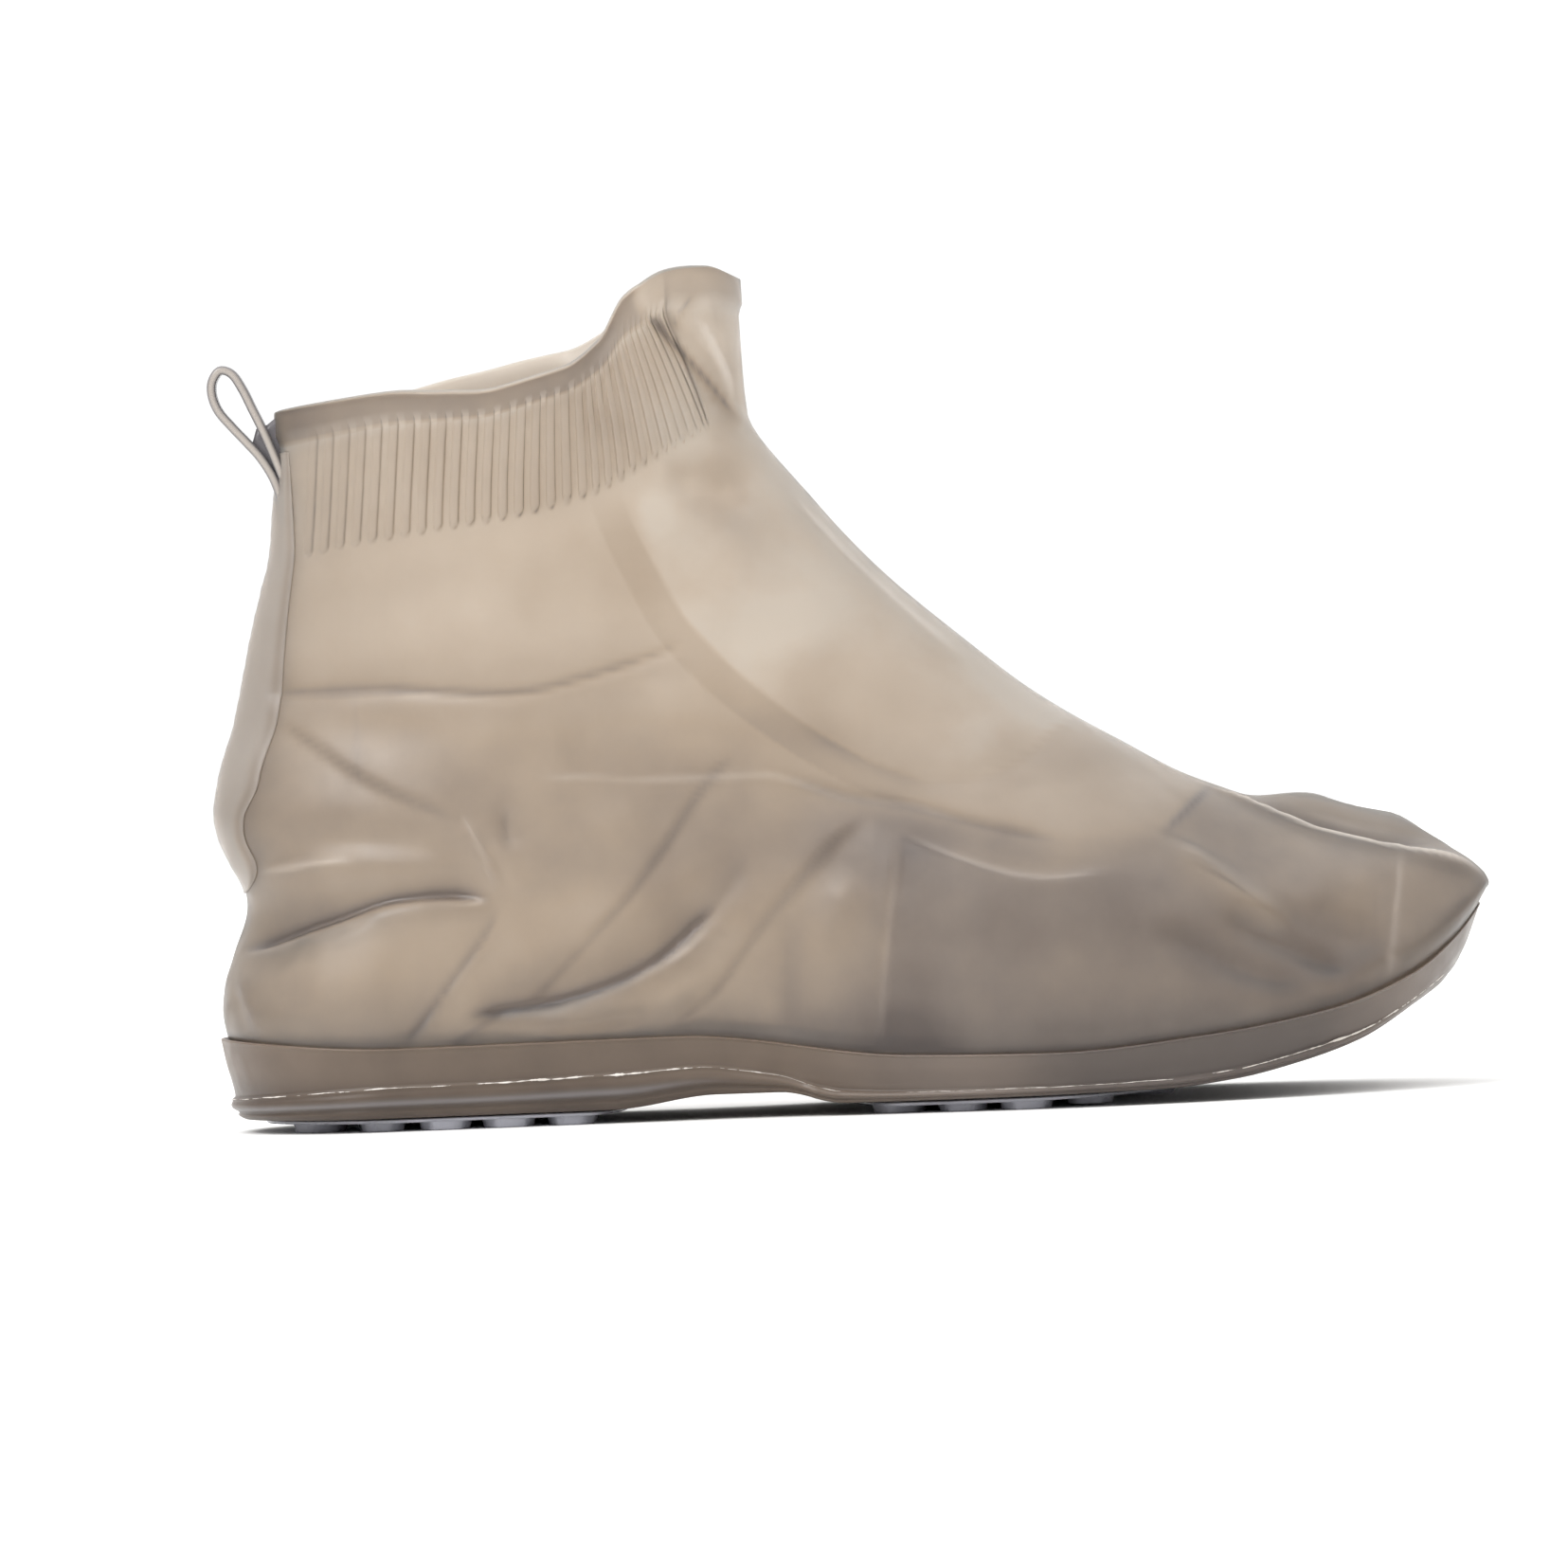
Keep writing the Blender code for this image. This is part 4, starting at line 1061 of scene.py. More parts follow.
def beadTree():
    tree, given = newTree("mouldBead", Int=["Points"], Float=["Thickness", "Raggedness", "Wander", "Seed"],
                          Material=["Silicone"])
    line = addNode(tree, "GeometryNodeMeshToCurve", {"Mesh": given["Geometry"]})
    even = addNode(tree, "GeometryNodeResampleCurve", {"Curve": line, "Count": given["Points"]})
    drift = addNode(tree, "ShaderNodeTexNoise", {
        "W": given["Seed"], "Scale": 1 / mouldBead["driftSize"],
        "Detail": mouldBead["driftDetail"]}, noise_dimensions="4D")
    centred = addNode(tree, "ShaderNodeMath", {0: drift.outputs["Fac"], 1: 0.5}, operation="SUBTRACT")
    rise = addNode(tree, "ShaderNodeMath", {0: centred, 1: given["Wander"]}, operation="MULTIPLY")
    lift = addNode(tree, "ShaderNodeCombineXYZ", {"Z": rise})
    placed = addNode(tree, "GeometryNodeSetPosition", {"Geometry": even, "Offset": lift})
    tear = addNode(tree, "ShaderNodeTexNoise", {
        "W": given["Seed"], "Scale": 1 / mouldBead["tearSize"], "Detail": mouldBead["tearDetail"],
        "Roughness": mouldBead["tearRoughness"]}, noise_dimensions="4D")
    least = addNode(tree, "ShaderNodeMath", {0: 1.0, 1: given["Raggedness"]}, operation="SUBTRACT")
    torn, whole = mouldBead["tearRange"]
    size = addNode(tree, "ShaderNodeMapRange", {
        "Value": tear.outputs["Fac"], "From Min": torn, "From Max": whole, "To Min": least, "To Max": 1.0})
    share = addNode(tree, "GeometryNodeInputNamedAttribute", {"Name": "beadSize"}, data_type="FLOAT")
    girth = addNode(tree, "ShaderNodeMath", {0: size, 1: share}, operation="MULTIPLY")
    profile = addNode(tree, "GeometryNodeCurvePrimitiveCircle", {
        "Radius": given["Thickness"], "Resolution": mouldBead["roundPoints"]})
    tube = addNode(tree, "GeometryNodeCurveToMesh", {
        "Curve": placed, "Profile Curve": profile, "Scale": girth})
    real = addNode(tree, "GeometryNodeRealizeInstances", {"Geometry": tube})
    dressed = addNode(tree, "GeometryNodeSetMaterial", {"Geometry": real, "Material": given["Silicone"]})
    smoothed = addNode(tree, "GeometryNodeSetShadeSmooth", {"Geometry": dressed})
    addNode(tree, "NodeGroupOutput", {0: smoothed})
    return tree


# a line of edges for a tree to follow
def linePiece(name, points, closed):
    count = len(points)
    starts = np.arange(count if closed else count - 1)
    piece = meshPiece(name, points, [])
    piece.data.edges.add(len(starts))
    piece.data.edges.foreach_set("vertices", np.stack([starts, (starts + 1) % count], axis=-1).ravel())
    piece.data.update()
    return piece


def makeBead(material):
    lip = foxingRing(sole["columns"])
    line = curveThrough(sole["mouldLine"], "x", "share", lip[:, 0])
    points = np.array([sideWall(lip, share)[i] for i, share in enumerate(line)])
    piece = linePiece("mould_bead", outset(points, -mouldBead["sink"]), True)
    storeValues(piece, "beadSize", curveThrough(beadSize, "x", "share", points[:, 0]))
    runTree(piece, beadTree(), {**mouldBead, "Silicone": material})
    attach(piece, "root")
    print("mould bead:", len(piece.data.polygons), "faces")


def faceOut(piece):
    shape = bmesh.new()
    shape.from_mesh(piece.data)
    bmesh.ops.recalc_face_normals(shape, faces=shape.faces)
    shape.to_mesh(piece.data)
    shape.free()


# closed body from rings stacked upwards, with the first and last ring filled
def stackPiece(name, rings):
    count = len(rings[0])
    last = (len(rings) - 1) * count
    faces = tubeFaces(len(rings), count) + [list(range(count))[::-1], list(range(last, last + count))]
    piece = meshPiece(name, np.concatenate(rings), faces)
    faceOut(piece)
    return piece


# Strap loop: a drop-shaped strap that grows out of the heel strip, side view in mm
strap = {
    "path": [(20.0, 132), (18.4, 137.5), (16.7, 142.5), (14.1, 147.0), (11.2, 150.5), (8.2, 153.9),
             (5.4, 157.4), (4.1, 160.8), (4.2, 164.0), (6.0, 166.4), (8.6, 165.5), (10.8, 162), (12.6, 158),
             (14.5, 153.8), (16.2, 149.6), (17.9, 145), (19.6, 140), (21.0, 135)],
    "Width": 8.6 * mm,
    "Thickness": 1.9 * mm,
    "Step": 0.6 * mm,
    "Edge round": 0.75 * mm,
    "edgePoints": 3,
    "Side tint": 0.22,
    "Face tint": 0.90,
    "sideFrom": (0.6, 0.98),    # how far a place faces sideways to count as a side
    "web": [(12.4, 150.2), (13.4, 153.4), (15.8, 154.2), (17.6, 155.6), (19.4, 154.6), (20.6, 147),
            (20.4, 139), (19.2, 135), (17.4, 140.5), (15.2, 145.6)],
    "webHalf": 2.6,     # mm to each side
    "webSlices": ((-1.0, 0.82), (-0.85, 1.0), (0.85, 1.0), (1.0, 0.82)),    # share of that, and size there
}


def strapTree():
    sizes = ["Width", "Thickness", "Step", "Edge round", "Side tint", "Face tint"]
    tree, given = newTree("pullStrap", Float=sizes, Object=["Web"], Material=["Silicone"])
    line = addNode(tree, "GeometryNodeMeshToCurve", {"Mesh": given["Geometry"]})
    even = addNode(tree, "GeometryNodeResampleCurve", {"Curve": line, "Length": given["Step"]},
                   mode="LENGTH")
    across = addNode(tree, "GeometryNodeSetCurveNormal", {"Curve": even, "Normal": (0.0, 1.0, 0.0)},
                     mode="FREE")
    flat = addNode(tree, "GeometryNodeCurvePrimitiveQuadrilateral", {
        "Width": given["Width"], "Height": given["Thickness"]})
    rounded = addNode(tree, "GeometryNodeFilletCurve", {
        "Curve": flat, "Radius": given["Edge round"], "Count": strap["edgePoints"]}, mode="POLY")
    band = addNode(tree, "GeometryNodeCurveToMesh", {
        "Curve": across, "Profile Curve": rounded, "Fill Caps": True})
    # the ribbon's sides catch more light than its faces
    facing = addNode(tree, "ShaderNodeSeparateXYZ", {0: addNode(tree, "GeometryNodeInputNormal")})
    sideways = addNode(tree, "ShaderNodeMath", {0: facing.outputs["Y"]}, operation="ABSOLUTE")
    least, most = strap["sideFrom"]
    tint = addNode(tree, "ShaderNodeMapRange", {
        "Value": sideways, "From Min": least, "From Max": most,
        "To Min": given["Face tint"], "To Max": given["Side tint"]})
    tinted = addNode(tree, "GeometryNodeStoreNamedAttribute", {
        "Geometry": band, "Value": tint, "Name": "tint"}, data_type="FLOAT", domain="POINT")
    web = addNode(tree, "GeometryNodeObjectInfo", {"Object": given["Web"]})
    joined = addNode(tree, "GeometryNodeJoinGeometry", {"Geometry": tinted})
    tree.links.new(web.outputs["Geometry"], joined.inputs["Geometry"])
    real = addNode(tree, "GeometryNodeRealizeInstances", {"Geometry": joined})
    smoothed = addNode(tree, "GeometryNodeSetShadeSmooth", {"Geometry": real})
    dressed = addNode(tree, "GeometryNodeSetMaterial", {
        "Geometry": smoothed, "Material": given["Silicone"]})
    addNode(tree, "NodeGroupOutput", {0: dressed})
    return tree


def makeStrap(material):
    path = softPath(strap["path"], steps=12)
    points = np.column_stack([path[:, 0], np.zeros(len(path)), path[:, 1]])
    piece = linePiece("pull_strap", points, False)
    outline = np.array(strap["web"])
    middle = outline.mean(axis=0)
    rings = []
    for side, size in strap["webSlices"]:
        ring = middle + (outline - middle) * size
        rings.append(np.column_stack([ring[:, 0], np.full(len(ring), side * strap["webHalf"]), ring[:, 1]]))
    web = stackPiece("web", rings)
    storeValues(web, "tint", np.ones(len(web.data.vertices)))
    runTree(piece, strapTree(), {**strap, "Web": web, "Silicone": material})
    bpy.data.objects.remove(web)
    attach(piece, "root")
    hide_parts("pull_loop")
    print("pull strap:", len(piece.data.polygons), "faces")


# Heel strip: flat band down the back with a bead along each edge and a mould line down its middle
heelStrip = {
    "rise": [0.235, 0.275, 0.317, 0.354, 0.41, 0.513, 0.575, 0.66, 0.76, 0.88, 0.94],
    # from the back line to its edge, side view in mm
    "reach": [4.8, 5.6, 5.4, 6.2, 8.8, 8.8, 7.8, 6.8, 5.6, 3.4, 2.4],
    "rows": 170,
    "columns": 48,
    "thick": 1.0,
    "gap": 0.12,
    "bead": 0.28,
    "ridge": 0.30,
    "endRound": 0.06,   # rise over which the lower end is rounded
    "endBlunt": 0.001,
    "thinFrom": 0.86,   # rise above which it thins out under the hem
    "thinShare": 0.15,
    "endShare": 0.3,
    "squareness": 6,
    # across, as shares of its half width: middle and width of the bead, and of the painted shadow line
    # beside it
    "beadAt": (0.84, 0.09),
    "edgeAt": (0.93, 0.05),
    "ridgeWidth": 0.035,
    "lightWidth": 0.05,
    "ragged": (0.7, 0.5),
    "raggedTurns": (190, 71),
    "tint": 0.12,
    "edgeTint": 0.30,
    "ridgeTint": -0.25,
    "lowTint": 0.06,
    "lowFrom": (120, 55),
    "innerTint": 0.3,
}


def makeStrip(material):
    form = heelStrip
    rises = np.linspace(form["rise"][0], form["rise"][-1], form["rows"])
    reach = curveThrough(form, "rise", "reach", rises)
    back, front = [curveThrough(shoe["levels"], "rise", name, rises) for name in ("backX", "frontX")]
    span = front - back
    edgeTurn = np.arccos(1 - 2 * reach / span) / (2 * math.pi)
    ending = np.clip(1 - (rises - rises[0] + form["endBlunt"]) / form["endRound"], 0, 1)
    edgeTurn = edgeTurn * np.sqrt(1 - ending**2)
    across = np.sin(np.linspace(-math.pi / 2, math.pi / 2, form["columns"]))
    turns = edgeTurn[:, None] * across
    base, normal, depth, _, _ = slackWall(np.broadcast_to(rises[:, None], turns.shape), turns)
    lift = form["thick"] * np.sqrt(1 - np.abs(across) ** form["squareness"])
    lift = lift + form["bead"] * bell(np.abs(across), *form["beadAt"])
    least, swing = form["ragged"]
    fast, slow = form["raggedTurns"]
    ragged = least + swing * np.sin(rises * fast) * np.sin(rises * slow)
    lift = lift + form["ridge"] * ragged[:, None] * bell(across, 0, form["ridgeWidth"])
    lift = lift * mix(1.0, form["thinShare"], smooth(form["thinFrom"], rises[-1], rises))[:, None]
    lift = lift * mix(form["endShare"], 1.0, smooth(rises[0], rises[0] + form["endRound"], rises))[:, None]
    foot = depth + form["gap"]
    outer = base + normal * (foot + lift)[..., None]
    inner = (base + normal * foot[..., None])[:, -2:0:-1]
    rings = np.concatenate([outer, inner], axis=1)
    count = rings.shape[1]
    faces = tubeFaces(len(rises), count)
    last = (len(rises) - 1) * count
    faces += [list(range(count))[::-1], list(range(last, last + count))]
    piece = meshPiece("heel_band", rings.reshape(-1, 3), faces)
    # a dark line of painted shadow beside each bead
    tint = form["tint"] + form["edgeTint"] * bell(np.abs(across), *form["edgeAt"])
    tint = tint + form["ridgeTint"] * bell(across, 0, form["lightWidth"])
    tint = tint + form["lowTint"] * smooth(*form["lowFrom"], base[..., 2])
    storeValues(piece, "tint", np.concatenate([tint, np.full(inner.shape[:2], form["innerTint"])], axis=1))
    piece.data.materials.append(material)
    faceOut(piece)
    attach(piece, "root")
    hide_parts("heel_strip")
    print("heel band:", len(piece.data.polygons), "faces")


# Treads: a thin plate under heel and ball with rows of six-sided lugs that end on the floor
treads = {
    "heel_tread": {"start": 9.5, "end": 89.0, "backArc": 0.45, "frontArc": 0.12},
    "forefoot_tread": {"start": 137.0, "end": 213.0, "backArc": 0.14, "frontArc": 0.50},
}
tread = {
    "inset": 3.6,
    "plate": 0.8,
    "gap": 0.3,
    "lugPitch": 13.7,
    "lugSpace": 12.6,
    "lugRadius": 6.4,
    "columns": 144,
    "springFrom": 176.0,
    "springEnd": 212.0,
    "springLift": 1.7,
    "plateRows": ((-0.9, 0.0), (-0.3, 0.05), (0.0, 0.3), (0.0, 0.6), (-0.25, 0.8)),     # out and up, mm
    "lugPoints": 24,
    "lugBlunt": 0.965,      # share of its radius that a corner keeps
    "lugBite": 0.4,         # how far a lug runs into its plate
    "sharpOver": 50.0,      # degrees
}
lugField = {"Least size": 0.84, "Most size": 1.05, "Most turn": 0.26, "Seed": 7}
# a lug from its dished foot to its root in the plate: share of its radius, share of its height
lugProfile = [(0.30, 0.16), (0.62, 0.12), (0.74, 0.0), (0.84, 0.03), (0.90, 0.16), (0.93, 0.6), (0.98, 0.85),
              (1.0, 1.0)]


def padHalf(pad, x):
    share = np.clip((x - pad["start"]) / (pad["end"] - pad["start"]), 0, 1)
    return (halfWidthAt(x) - tread["inset"]) * endRound(share, pad["backArc"], pad["frontArc"], 0)


def lugPlaces(pad):
    pitch, radius = tread["lugPitch"], tread["lugRadius"]
    rows = int((pad["end"] - pad["start"]) // pitch)
    first = (pad["start"] + pad["end"] - (rows - 1) * pitch) / 2
    places = []
    for x in first + pitch * np.arange(rows):
        room = padHalf(pad, np.array([x - radius / 2, x + radius / 2])).min()
        room = room - radius * math.sin(math.pi / 3)
        count = int(2 * room // tread["lugSpace"]) + 1
        places += [(x, y + float(middleAt(x)), float(lugLift(x))) for y in np.linspace(-room, room, count)]
    return places


# the forefoot's lugs leave the floor with the toe spring
def lugLift(x):
    return tread["springLift"] * smooth(tread["springFrom"], tread["springEnd"], x)


def lugTree():
    sizes = ["Least size", "Most size", "Most turn"]
    tree, given = newTree("lugField", Object=["Lug", "Plate"], Float=sizes, Int=["Seed"],
                          Material=["Silicone"])
    lug = addNode(tree, "GeometryNodeObjectInfo", {"Object": given["Lug"]})
    plate = addNode(tree, "GeometryNodeObjectInfo", {"Object": given["Plate"]})
    size = addNode(tree, "FunctionNodeRandomValue", {
        "Min": given["Least size"], "Max": given["Most size"], "Seed": given["Seed"]}, data_type="FLOAT")
    tall = addNode(tree, "GeometryNodeInputNamedAttribute", {"Name": "tall"}, data_type="FLOAT")
    size3 = addNode(tree, "ShaderNodeCombineXYZ", {"X": size.outputs[1], "Y": size.outputs[1], "Z": tall})
    least = addNode(tree, "ShaderNodeMath", {0: given["Most turn"], 1: -1.0}, operation="MULTIPLY")
    turn = addNode(tree, "FunctionNodeRandomValue", {
        "Min": least, "Max": given["Most turn"], "Seed": given["Seed"]}, data_type="FLOAT")
    spin = addNode(tree, "ShaderNodeCombineXYZ", {"Z": turn.outputs[1]})
    points = addNode(tree, "GeometryNodeMeshToPoints", {"Mesh": given["Geometry"]})
    placed = addNode(tree, "GeometryNodeInstanceOnPoints", {
        "Points": points, "Instance": lug.outputs["Geometry"], "Rotation": spin, "Scale": size3})
    joined = addNode(tree, "GeometryNodeJoinGeometry", {"Geometry": placed})
    tree.links.new(plate.outputs["Geometry"], joined.inputs["Geometry"])
    real = addNode(tree, "GeometryNodeRealizeInstances", {"Geometry": joined})
    dressed = addNode(tree, "GeometryNodeSetMaterial", {"Geometry": real, "Material": given["Silicone"]})
    addNode(tree, "NodeGroupOutput", {0: dressed})
    return tree


def makeTread(name, pad, material):
    turn = np.arange(tread["columns"]) / tread["columns"]
    x = mix(pad["start"], pad["end"], (1 - np.cos(2 * math.pi * turn)) / 2)
    y = middleAt(x) - np.sign(np.sin(2 * math.pi * turn)) * padHalf(pad, x)
    outline = np.stack([x, y, 0 * x], axis=-1)
    foot = undersideAt(x) - tread["gap"] - tread["plate"]
    plateRings = [atHeight(outset(outline, out), foot + up) for out, up in tread["plateRows"]]
    plate = stackPiece("plate", plateRings)
    angle = np.linspace(0, 2 * math.pi, tread["lugPoints"], endpoint=False)
    corner = angle % (math.pi / 3) - math.pi / 6
    hexagon = np.minimum(math.cos(math.pi / 6) / np.cos(corner), tread["lugBlunt"])
    centre = np.array([shoe["length"] / 2, middleY, 0])
    lugRings = []
    for share, up in lugProfile:
        reach = hexagon * share * tread["lugRadius"]
        ring = [np.cos(angle) * reach, np.sin(angle) * reach, np.full(len(angle), up)]
        lugRings.append(np.stack(ring, axis=-1) + centre)
    lug = stackPiece("lug", lugRings)
    places = np.array(lugPlaces(pad))
    piece = meshPiece(name.replace("tread", "lugs"), places, [])
    root = undersideAt(places[:, 0]) - tread["gap"] - tread["plate"] + tread["lugBite"]
    storeValues(piece, "tall", root - places[:, 2])
    runTree(piece, lugTree(), {**lugField, "Lug": lug, "Plate": plate, "Silicone": material})
    piece.data.set_sharp_from_angle(angle=math.radians(tread["sharpOver"]))
    for helper in (lug, plate):
        bpy.data.objects.remove(helper)
    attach(piece, "root")
    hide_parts(name)
    print(piece.name + ":", len(piece.data.polygons), "faces")


# Moulded translucent silicone, smoky taupe: thin walls let a soft light through and show what lies
# behind as a blur, thick places and doubled walls go darker and greyer, and the skin is satin.
# Shade in folds and on the ribs' flanks, and highlights along crests and edges, are painted into its colour.
silicone = {
    "ior": 1.41,
    "transmission": 0.0,    # share of light let through, none where it is too thick
    "softLight": 0.0,
    "softReach": 3 * mm,
    "softColour": (1.0, 0.9, 0.8),
    "ribLine": 0.0,
    "frost": "#cfc6bc",     # colour of the painted highlights along crests and edges
    "cloudSize": 16 * mm,
    "sheenSize": 5 * mm,
    "grainSize": 1.2 * mm,
    "grainDepth": 0.15 * mm,
    "noiseRange": (0.3, 0.7),
}
finishes = {
    # thin wall: pale and clear, brown-grey where it is doubled and where folds have shade painted in
    "thin_wall": {
        "colours": {0.0: "#fffbf4", 0.15: "#efe5d9", 0.48: "#d5c8b9", 0.80: "#a39b97", 1.0: "#7c7575"},
        "smoke": "#cbbfb0", "density": 520.0, "transmission": 0.85, "roughness": (0.32, 0.44),
        "mottle": 0.07, "grain": 0.10, "ribLine": 2.8},
    # sole: thick enough to look solid, dark brown with a soft glow; grey for the painted sheen on its rim
    # and its greyer forefoot
    "sole": {
        "colours": {0.0: "#948476", 0.5: "#695b4f", 1.0: "#463b33"}, "softLight": 0.35,
        "roughness": (0.30, 0.44), "mottle": 0.08, "grain": 0.08, "frost": "#8f8d8f"},
    # tread: bluish grey, patchy and shiny where it is worn
    "tread": {
        "colours": {0.0: "#a0a0a8", 0.5: "#7d7d85", 1.0: "#5c5b63"}, "softLight": 0.2,
        "roughness": (0.15, 0.35), "mottle": 0.3, "grain": 0.5},
    # strip: as the wall, a little denser
    "strip": {
        "colours": {0.0: "#efe8e0", 0.5: "#c8bbae", 1.0: "#8d8177"},
        "smoke": "#cbbfb0", "density": 420.0, "transmission": 0.80, "roughness": (0.30, 0.42),
        "mottle": 0.05, "grain": 0.10},
    # strap: pale sides and grey faces, smooth
    "strap": {
        "colours": {0.0: "#b0a79e", 0.5: "#7f7a77", 1.0: "#5b585b"},
        "roughness": (0.22, 0.30), "mottle": 0.04, "grain": 0.03},
    # bead: torn thin, so it looks pale and uneven
    "bead": {
        "colours": {0.0: "#d8d2cb", 0.5: "#b5aaa0", 1.0: "#8d8177"},
        "roughness": (0.3, 0.45), "mottle": 0.4, "grain": 0.3},
}


# a slow noise over the piece, spread from one value to another
def noiseBetween(tree, coords, size, detail, low, high):
    noise = addNode(tree, "ShaderNodeTexNoise", {"Vector": coords, "Scale": 1 / size, "Detail": detail})
    least, most = silicone["noiseRange"]
    return addNode(tree, "ShaderNodeMapRange", {
        "Value": noise, "From Min": least, "From Max": most, "To Min": low, "To Max": high})


def mouldedSilicone(name):
    finish = {**silicone, **finishes[name]}
    material = bpy.data.materials.new("moulded_silicone_" + name)
    material.use_nodes = True
    tree = material.node_tree
    coords = addNode(tree, "ShaderNodeTexCoord").outputs["Object"]
    tint, flank, frost = [
        addNode(tree, "ShaderNodeAttribute", attribute_name=layer).outputs["Fac"]
        for layer in ("tint", "flank", "frost")]
    cloud = noiseBetween(tree, coords, finish["cloudSize"], 4.0, -finish["mottle"], finish["mottle"])
    lined = addNode(tree, "ShaderNodeMath", {0: flank, 1: finish["ribLine"], 2: tint},
                    operation="MULTIPLY_ADD")
    depth = addNode(tree, "ShaderNodeMath", {0: lined, 1: cloud}, operation="ADD")
    ramp = addNode(tree, "ShaderNodeValToRGB", {"Fac": depth})
    stops = ramp.color_ramp.elements
    while len(stops) < len(finish["colours"]):
        stops.new(0.5)
    for stop, (place, colour) in zip(stops, finish["colours"].items()):
        stop.position = place
        stop.color = linear(colour)
    # painted highlights, and the sole's grey: a paler colour that lets no light through
    pale = addNode(tree, "ShaderNodeMixRGB", {
        "Fac": frost, "Color1": ramp, "Color2": linear(finish["frost"])})
    clear = addNode(tree, "ShaderNodeMapRange", {
        "Value": frost, "To Min": finish["transmission"], "To Max": 0.0})
    rough = noiseBetween(tree, coords, finish["sheenSize"], 3.0, *finish["roughness"])
    skin = addNode(tree, "ShaderNodeTexNoise", {
        "Vector": coords, "Scale": 1 / finish["grainSize"], "Detail": 3.0})
    bump = addNode(tree, "ShaderNodeBump", {
        "Height": skin, "Strength": finish["grain"], "Distance": finish["grainDepth"]})
    shader = tree.nodes["Principled BSDF"].inputs
    shader["IOR"].default_value = finish["ior"]
    shader["Subsurface Weight"].default_value = finish["softLight"]
    shader["Subsurface Scale"].default_value = finish["softReach"]
    shader["Subsurface Radius"].default_value = finish["softColour"]
    for socket, source in {
            "Base Color": pale, "Transmission Weight": clear, "Roughness": rough, "Normal": bump}.items():
        tree.links.new(source.outputs[0], shader[socket])
    if "density" in finish:
        smoke = addNode(tree, "ShaderNodeVolumeAbsorption", {
            "Color": linear(finish["smoke"]), "Density": finish["density"]})
        tree.links.new(smoke.outputs[0], tree.nodes["Material Output"].inputs["Volume"])
    return material


silicones = {name: mouldedSilicone(name) for name in finishes}
makeUpper(silicones["thin_wall"])
makeSole(silicones["sole"])
makeBead(silicones["bead"])
makeStrap(silicones["strap"])
makeStrip(silicones["strip"])
for name, pad in treads.items():
    makeTread(name, pad, silicones["tread"])

# Plain pale floor and soft studio light
studio = {
    "floorRadius": 3.0,
    "floorColour": "#f7f7f6",
    "floorRoughness": 0.9,
    "floorSides": 96,
    "horizonGlow": 0.20,
    "zenithGlow": 2.2,
    "backGlow": 1.2,
    "toeGlow": 0.4,
    "leastGlow": 0.1,
    "backSpread": (0.2, 0.95),
    "toeSpread": (0.2, 0.9),
    "seenGlow": 1.05,       # of the backdrop itself
    "keyWatts": 12.0,
    "keySize": 0.7,
    "keyPlace": (-0.75, -0.75, 0.95),
    "keyTarget": (0, 0, 0.07),
    "view": "Standard",
}
floorMesh = bpy.data.meshes.new("floor")
floorShape = bmesh.new()
bmesh.ops.create_circle(
    floorShape, cap_ends=True, segments=studio["floorSides"], radius=studio["floorRadius"])
floorShape.to_mesh(floorMesh)
floorShape.free()
floor = bpy.data.objects.new("floor", floorMesh)
bpy.context.scene.collection.objects.link(floor)
floorPaint = bpy.data.materials.new("matt_white_floor")
floorPaint.use_nodes = True
paint = floorPaint.node_tree.nodes["Principled BSDF"].inputs
paint["Base Color"].default_value = linear(studio["floorColour"])
paint["Roughness"].default_value = studio["floorRoughness"]
floorMesh.materials.append(floorPaint)

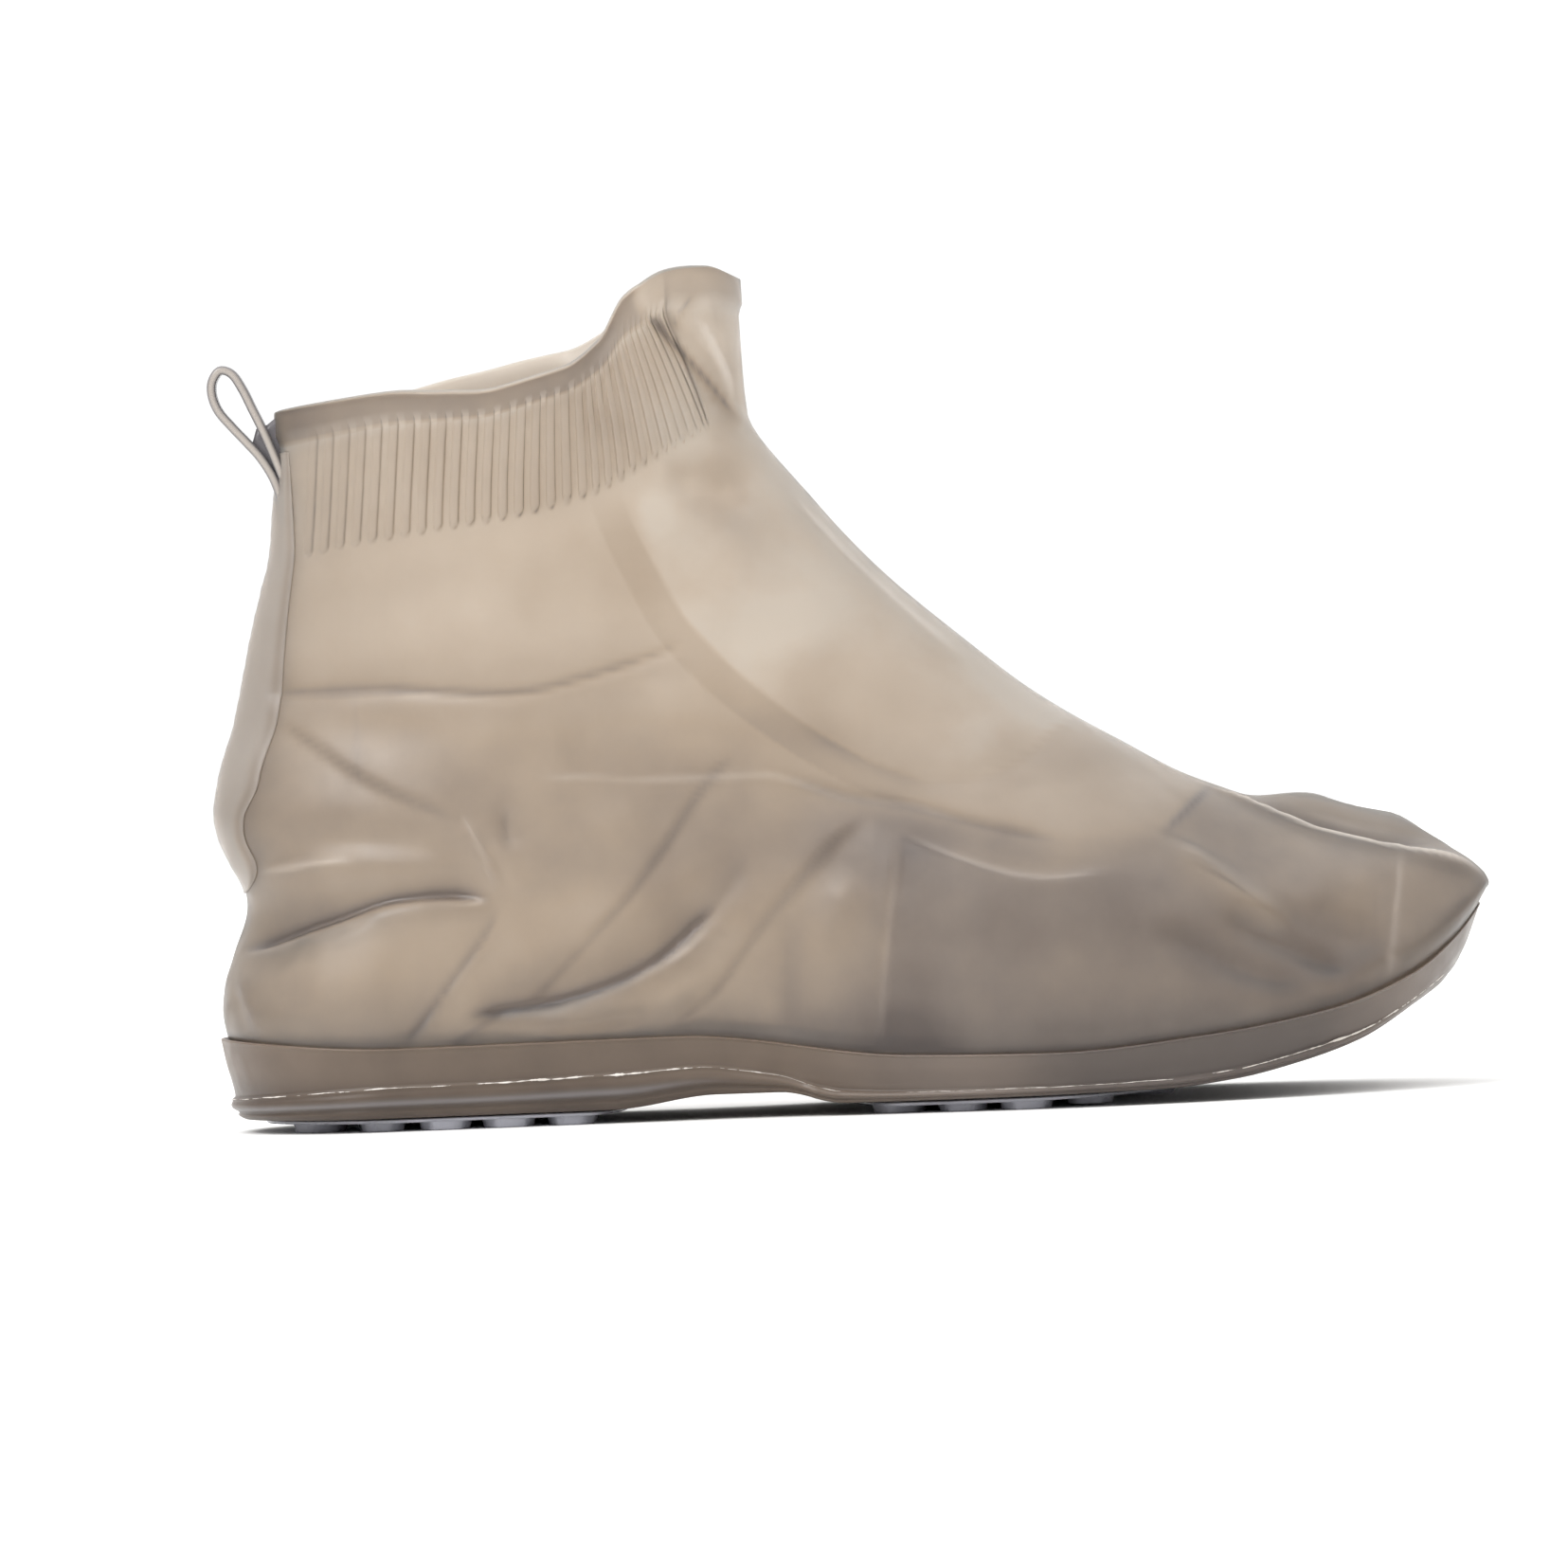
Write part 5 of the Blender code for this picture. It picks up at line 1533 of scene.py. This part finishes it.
world = bpy.data.worlds.new("studio")
bpy.context.scene.world = world
world.use_nodes = True
sky = world.node_tree
backdrop = sky.nodes["Background"]
seen = addNode(sky, "ShaderNodeLightPath")
ray = addNode(sky, "ShaderNodeTexCoord")
height = addNode(sky, "ShaderNodeSeparateXYZ", {0: ray.outputs["Generated"]})
above = addNode(sky, "ShaderNodeMapRange", {
    "Value": height.outputs["Z"], "To Min": studio["horizonGlow"], "To Max": studio["zenithGlow"]})
behind, ahead = [
    addNode(sky, "ShaderNodeMapRange", {
        "Value": height.outputs[axis], "From Min": studio[spread][0], "From Max": studio[spread][1],
        "To Min": studio["leastGlow"], "To Max": studio[most]})
    for axis, spread, most in (("Y", "backSpread", "backGlow"), ("X", "toeSpread", "toeGlow"))]
aroundGlow = addNode(sky, "ShaderNodeMath", {0: behind, 1: ahead}, operation="MAXIMUM")
glow = addNode(sky, "ShaderNodeMath", {0: above, 1: aroundGlow}, operation="MAXIMUM")
strength = addNode(sky, "ShaderNodeMapRange", {
    "Value": seen.outputs["Is Camera Ray"], "To Min": glow, "To Max": studio["seenGlow"]})
backdrop.inputs["Color"].default_value = (1, 1, 1, 1)
sky.links.new(strength.outputs[0], backdrop.inputs["Strength"])

key = bpy.data.lights.new("key", "AREA")
key.energy = studio["keyWatts"]
key.size = studio["keySize"]
keyLamp = bpy.data.objects.new("key", key)
keyLamp.location = studio["keyPlace"]
keyLamp.rotation_euler = (Vector(studio["keyTarget"]) - keyLamp.location).to_track_quat("-Z", "Y").to_euler()
bpy.context.scene.collection.objects.link(keyLamp)
bpy.context.scene.view_settings.view_transform = studio["view"]

# Camera: side on, a little above the floor, rolled as the photo is
shot = {
    "target": (-0.0136, 0.0, 0.0713),
    "distance": 3.0,
    "elevation": 1.0,
    "roll": 2.3,
    "frameWidth": 0.3427,
    "sensor": 36.0,
    "clip": (0.05, 20.0),
}
camera = bpy.data.objects.new("camera", bpy.data.cameras.new("camera"))
bpy.context.scene.collection.objects.link(camera)
tilt = math.radians(shot["elevation"])
back = Vector((0, -math.cos(tilt), math.sin(tilt)))
camera.location = Vector(shot["target"]) + back * shot["distance"]
roll = Matrix.Rotation(math.radians(-shot["roll"]), 3, "Z").to_quaternion()
camera.rotation_euler = ((-back).to_track_quat("-Z", "Y") @ roll).to_euler()
camera.data.sensor_width = shot["sensor"]
camera.data.lens = shot["sensor"] * shot["distance"] / shot["frameWidth"]
camera.data.clip_start, camera.data.clip_end = shot["clip"]
bpy.context.scene.camera = camera
print("camera and light placed")
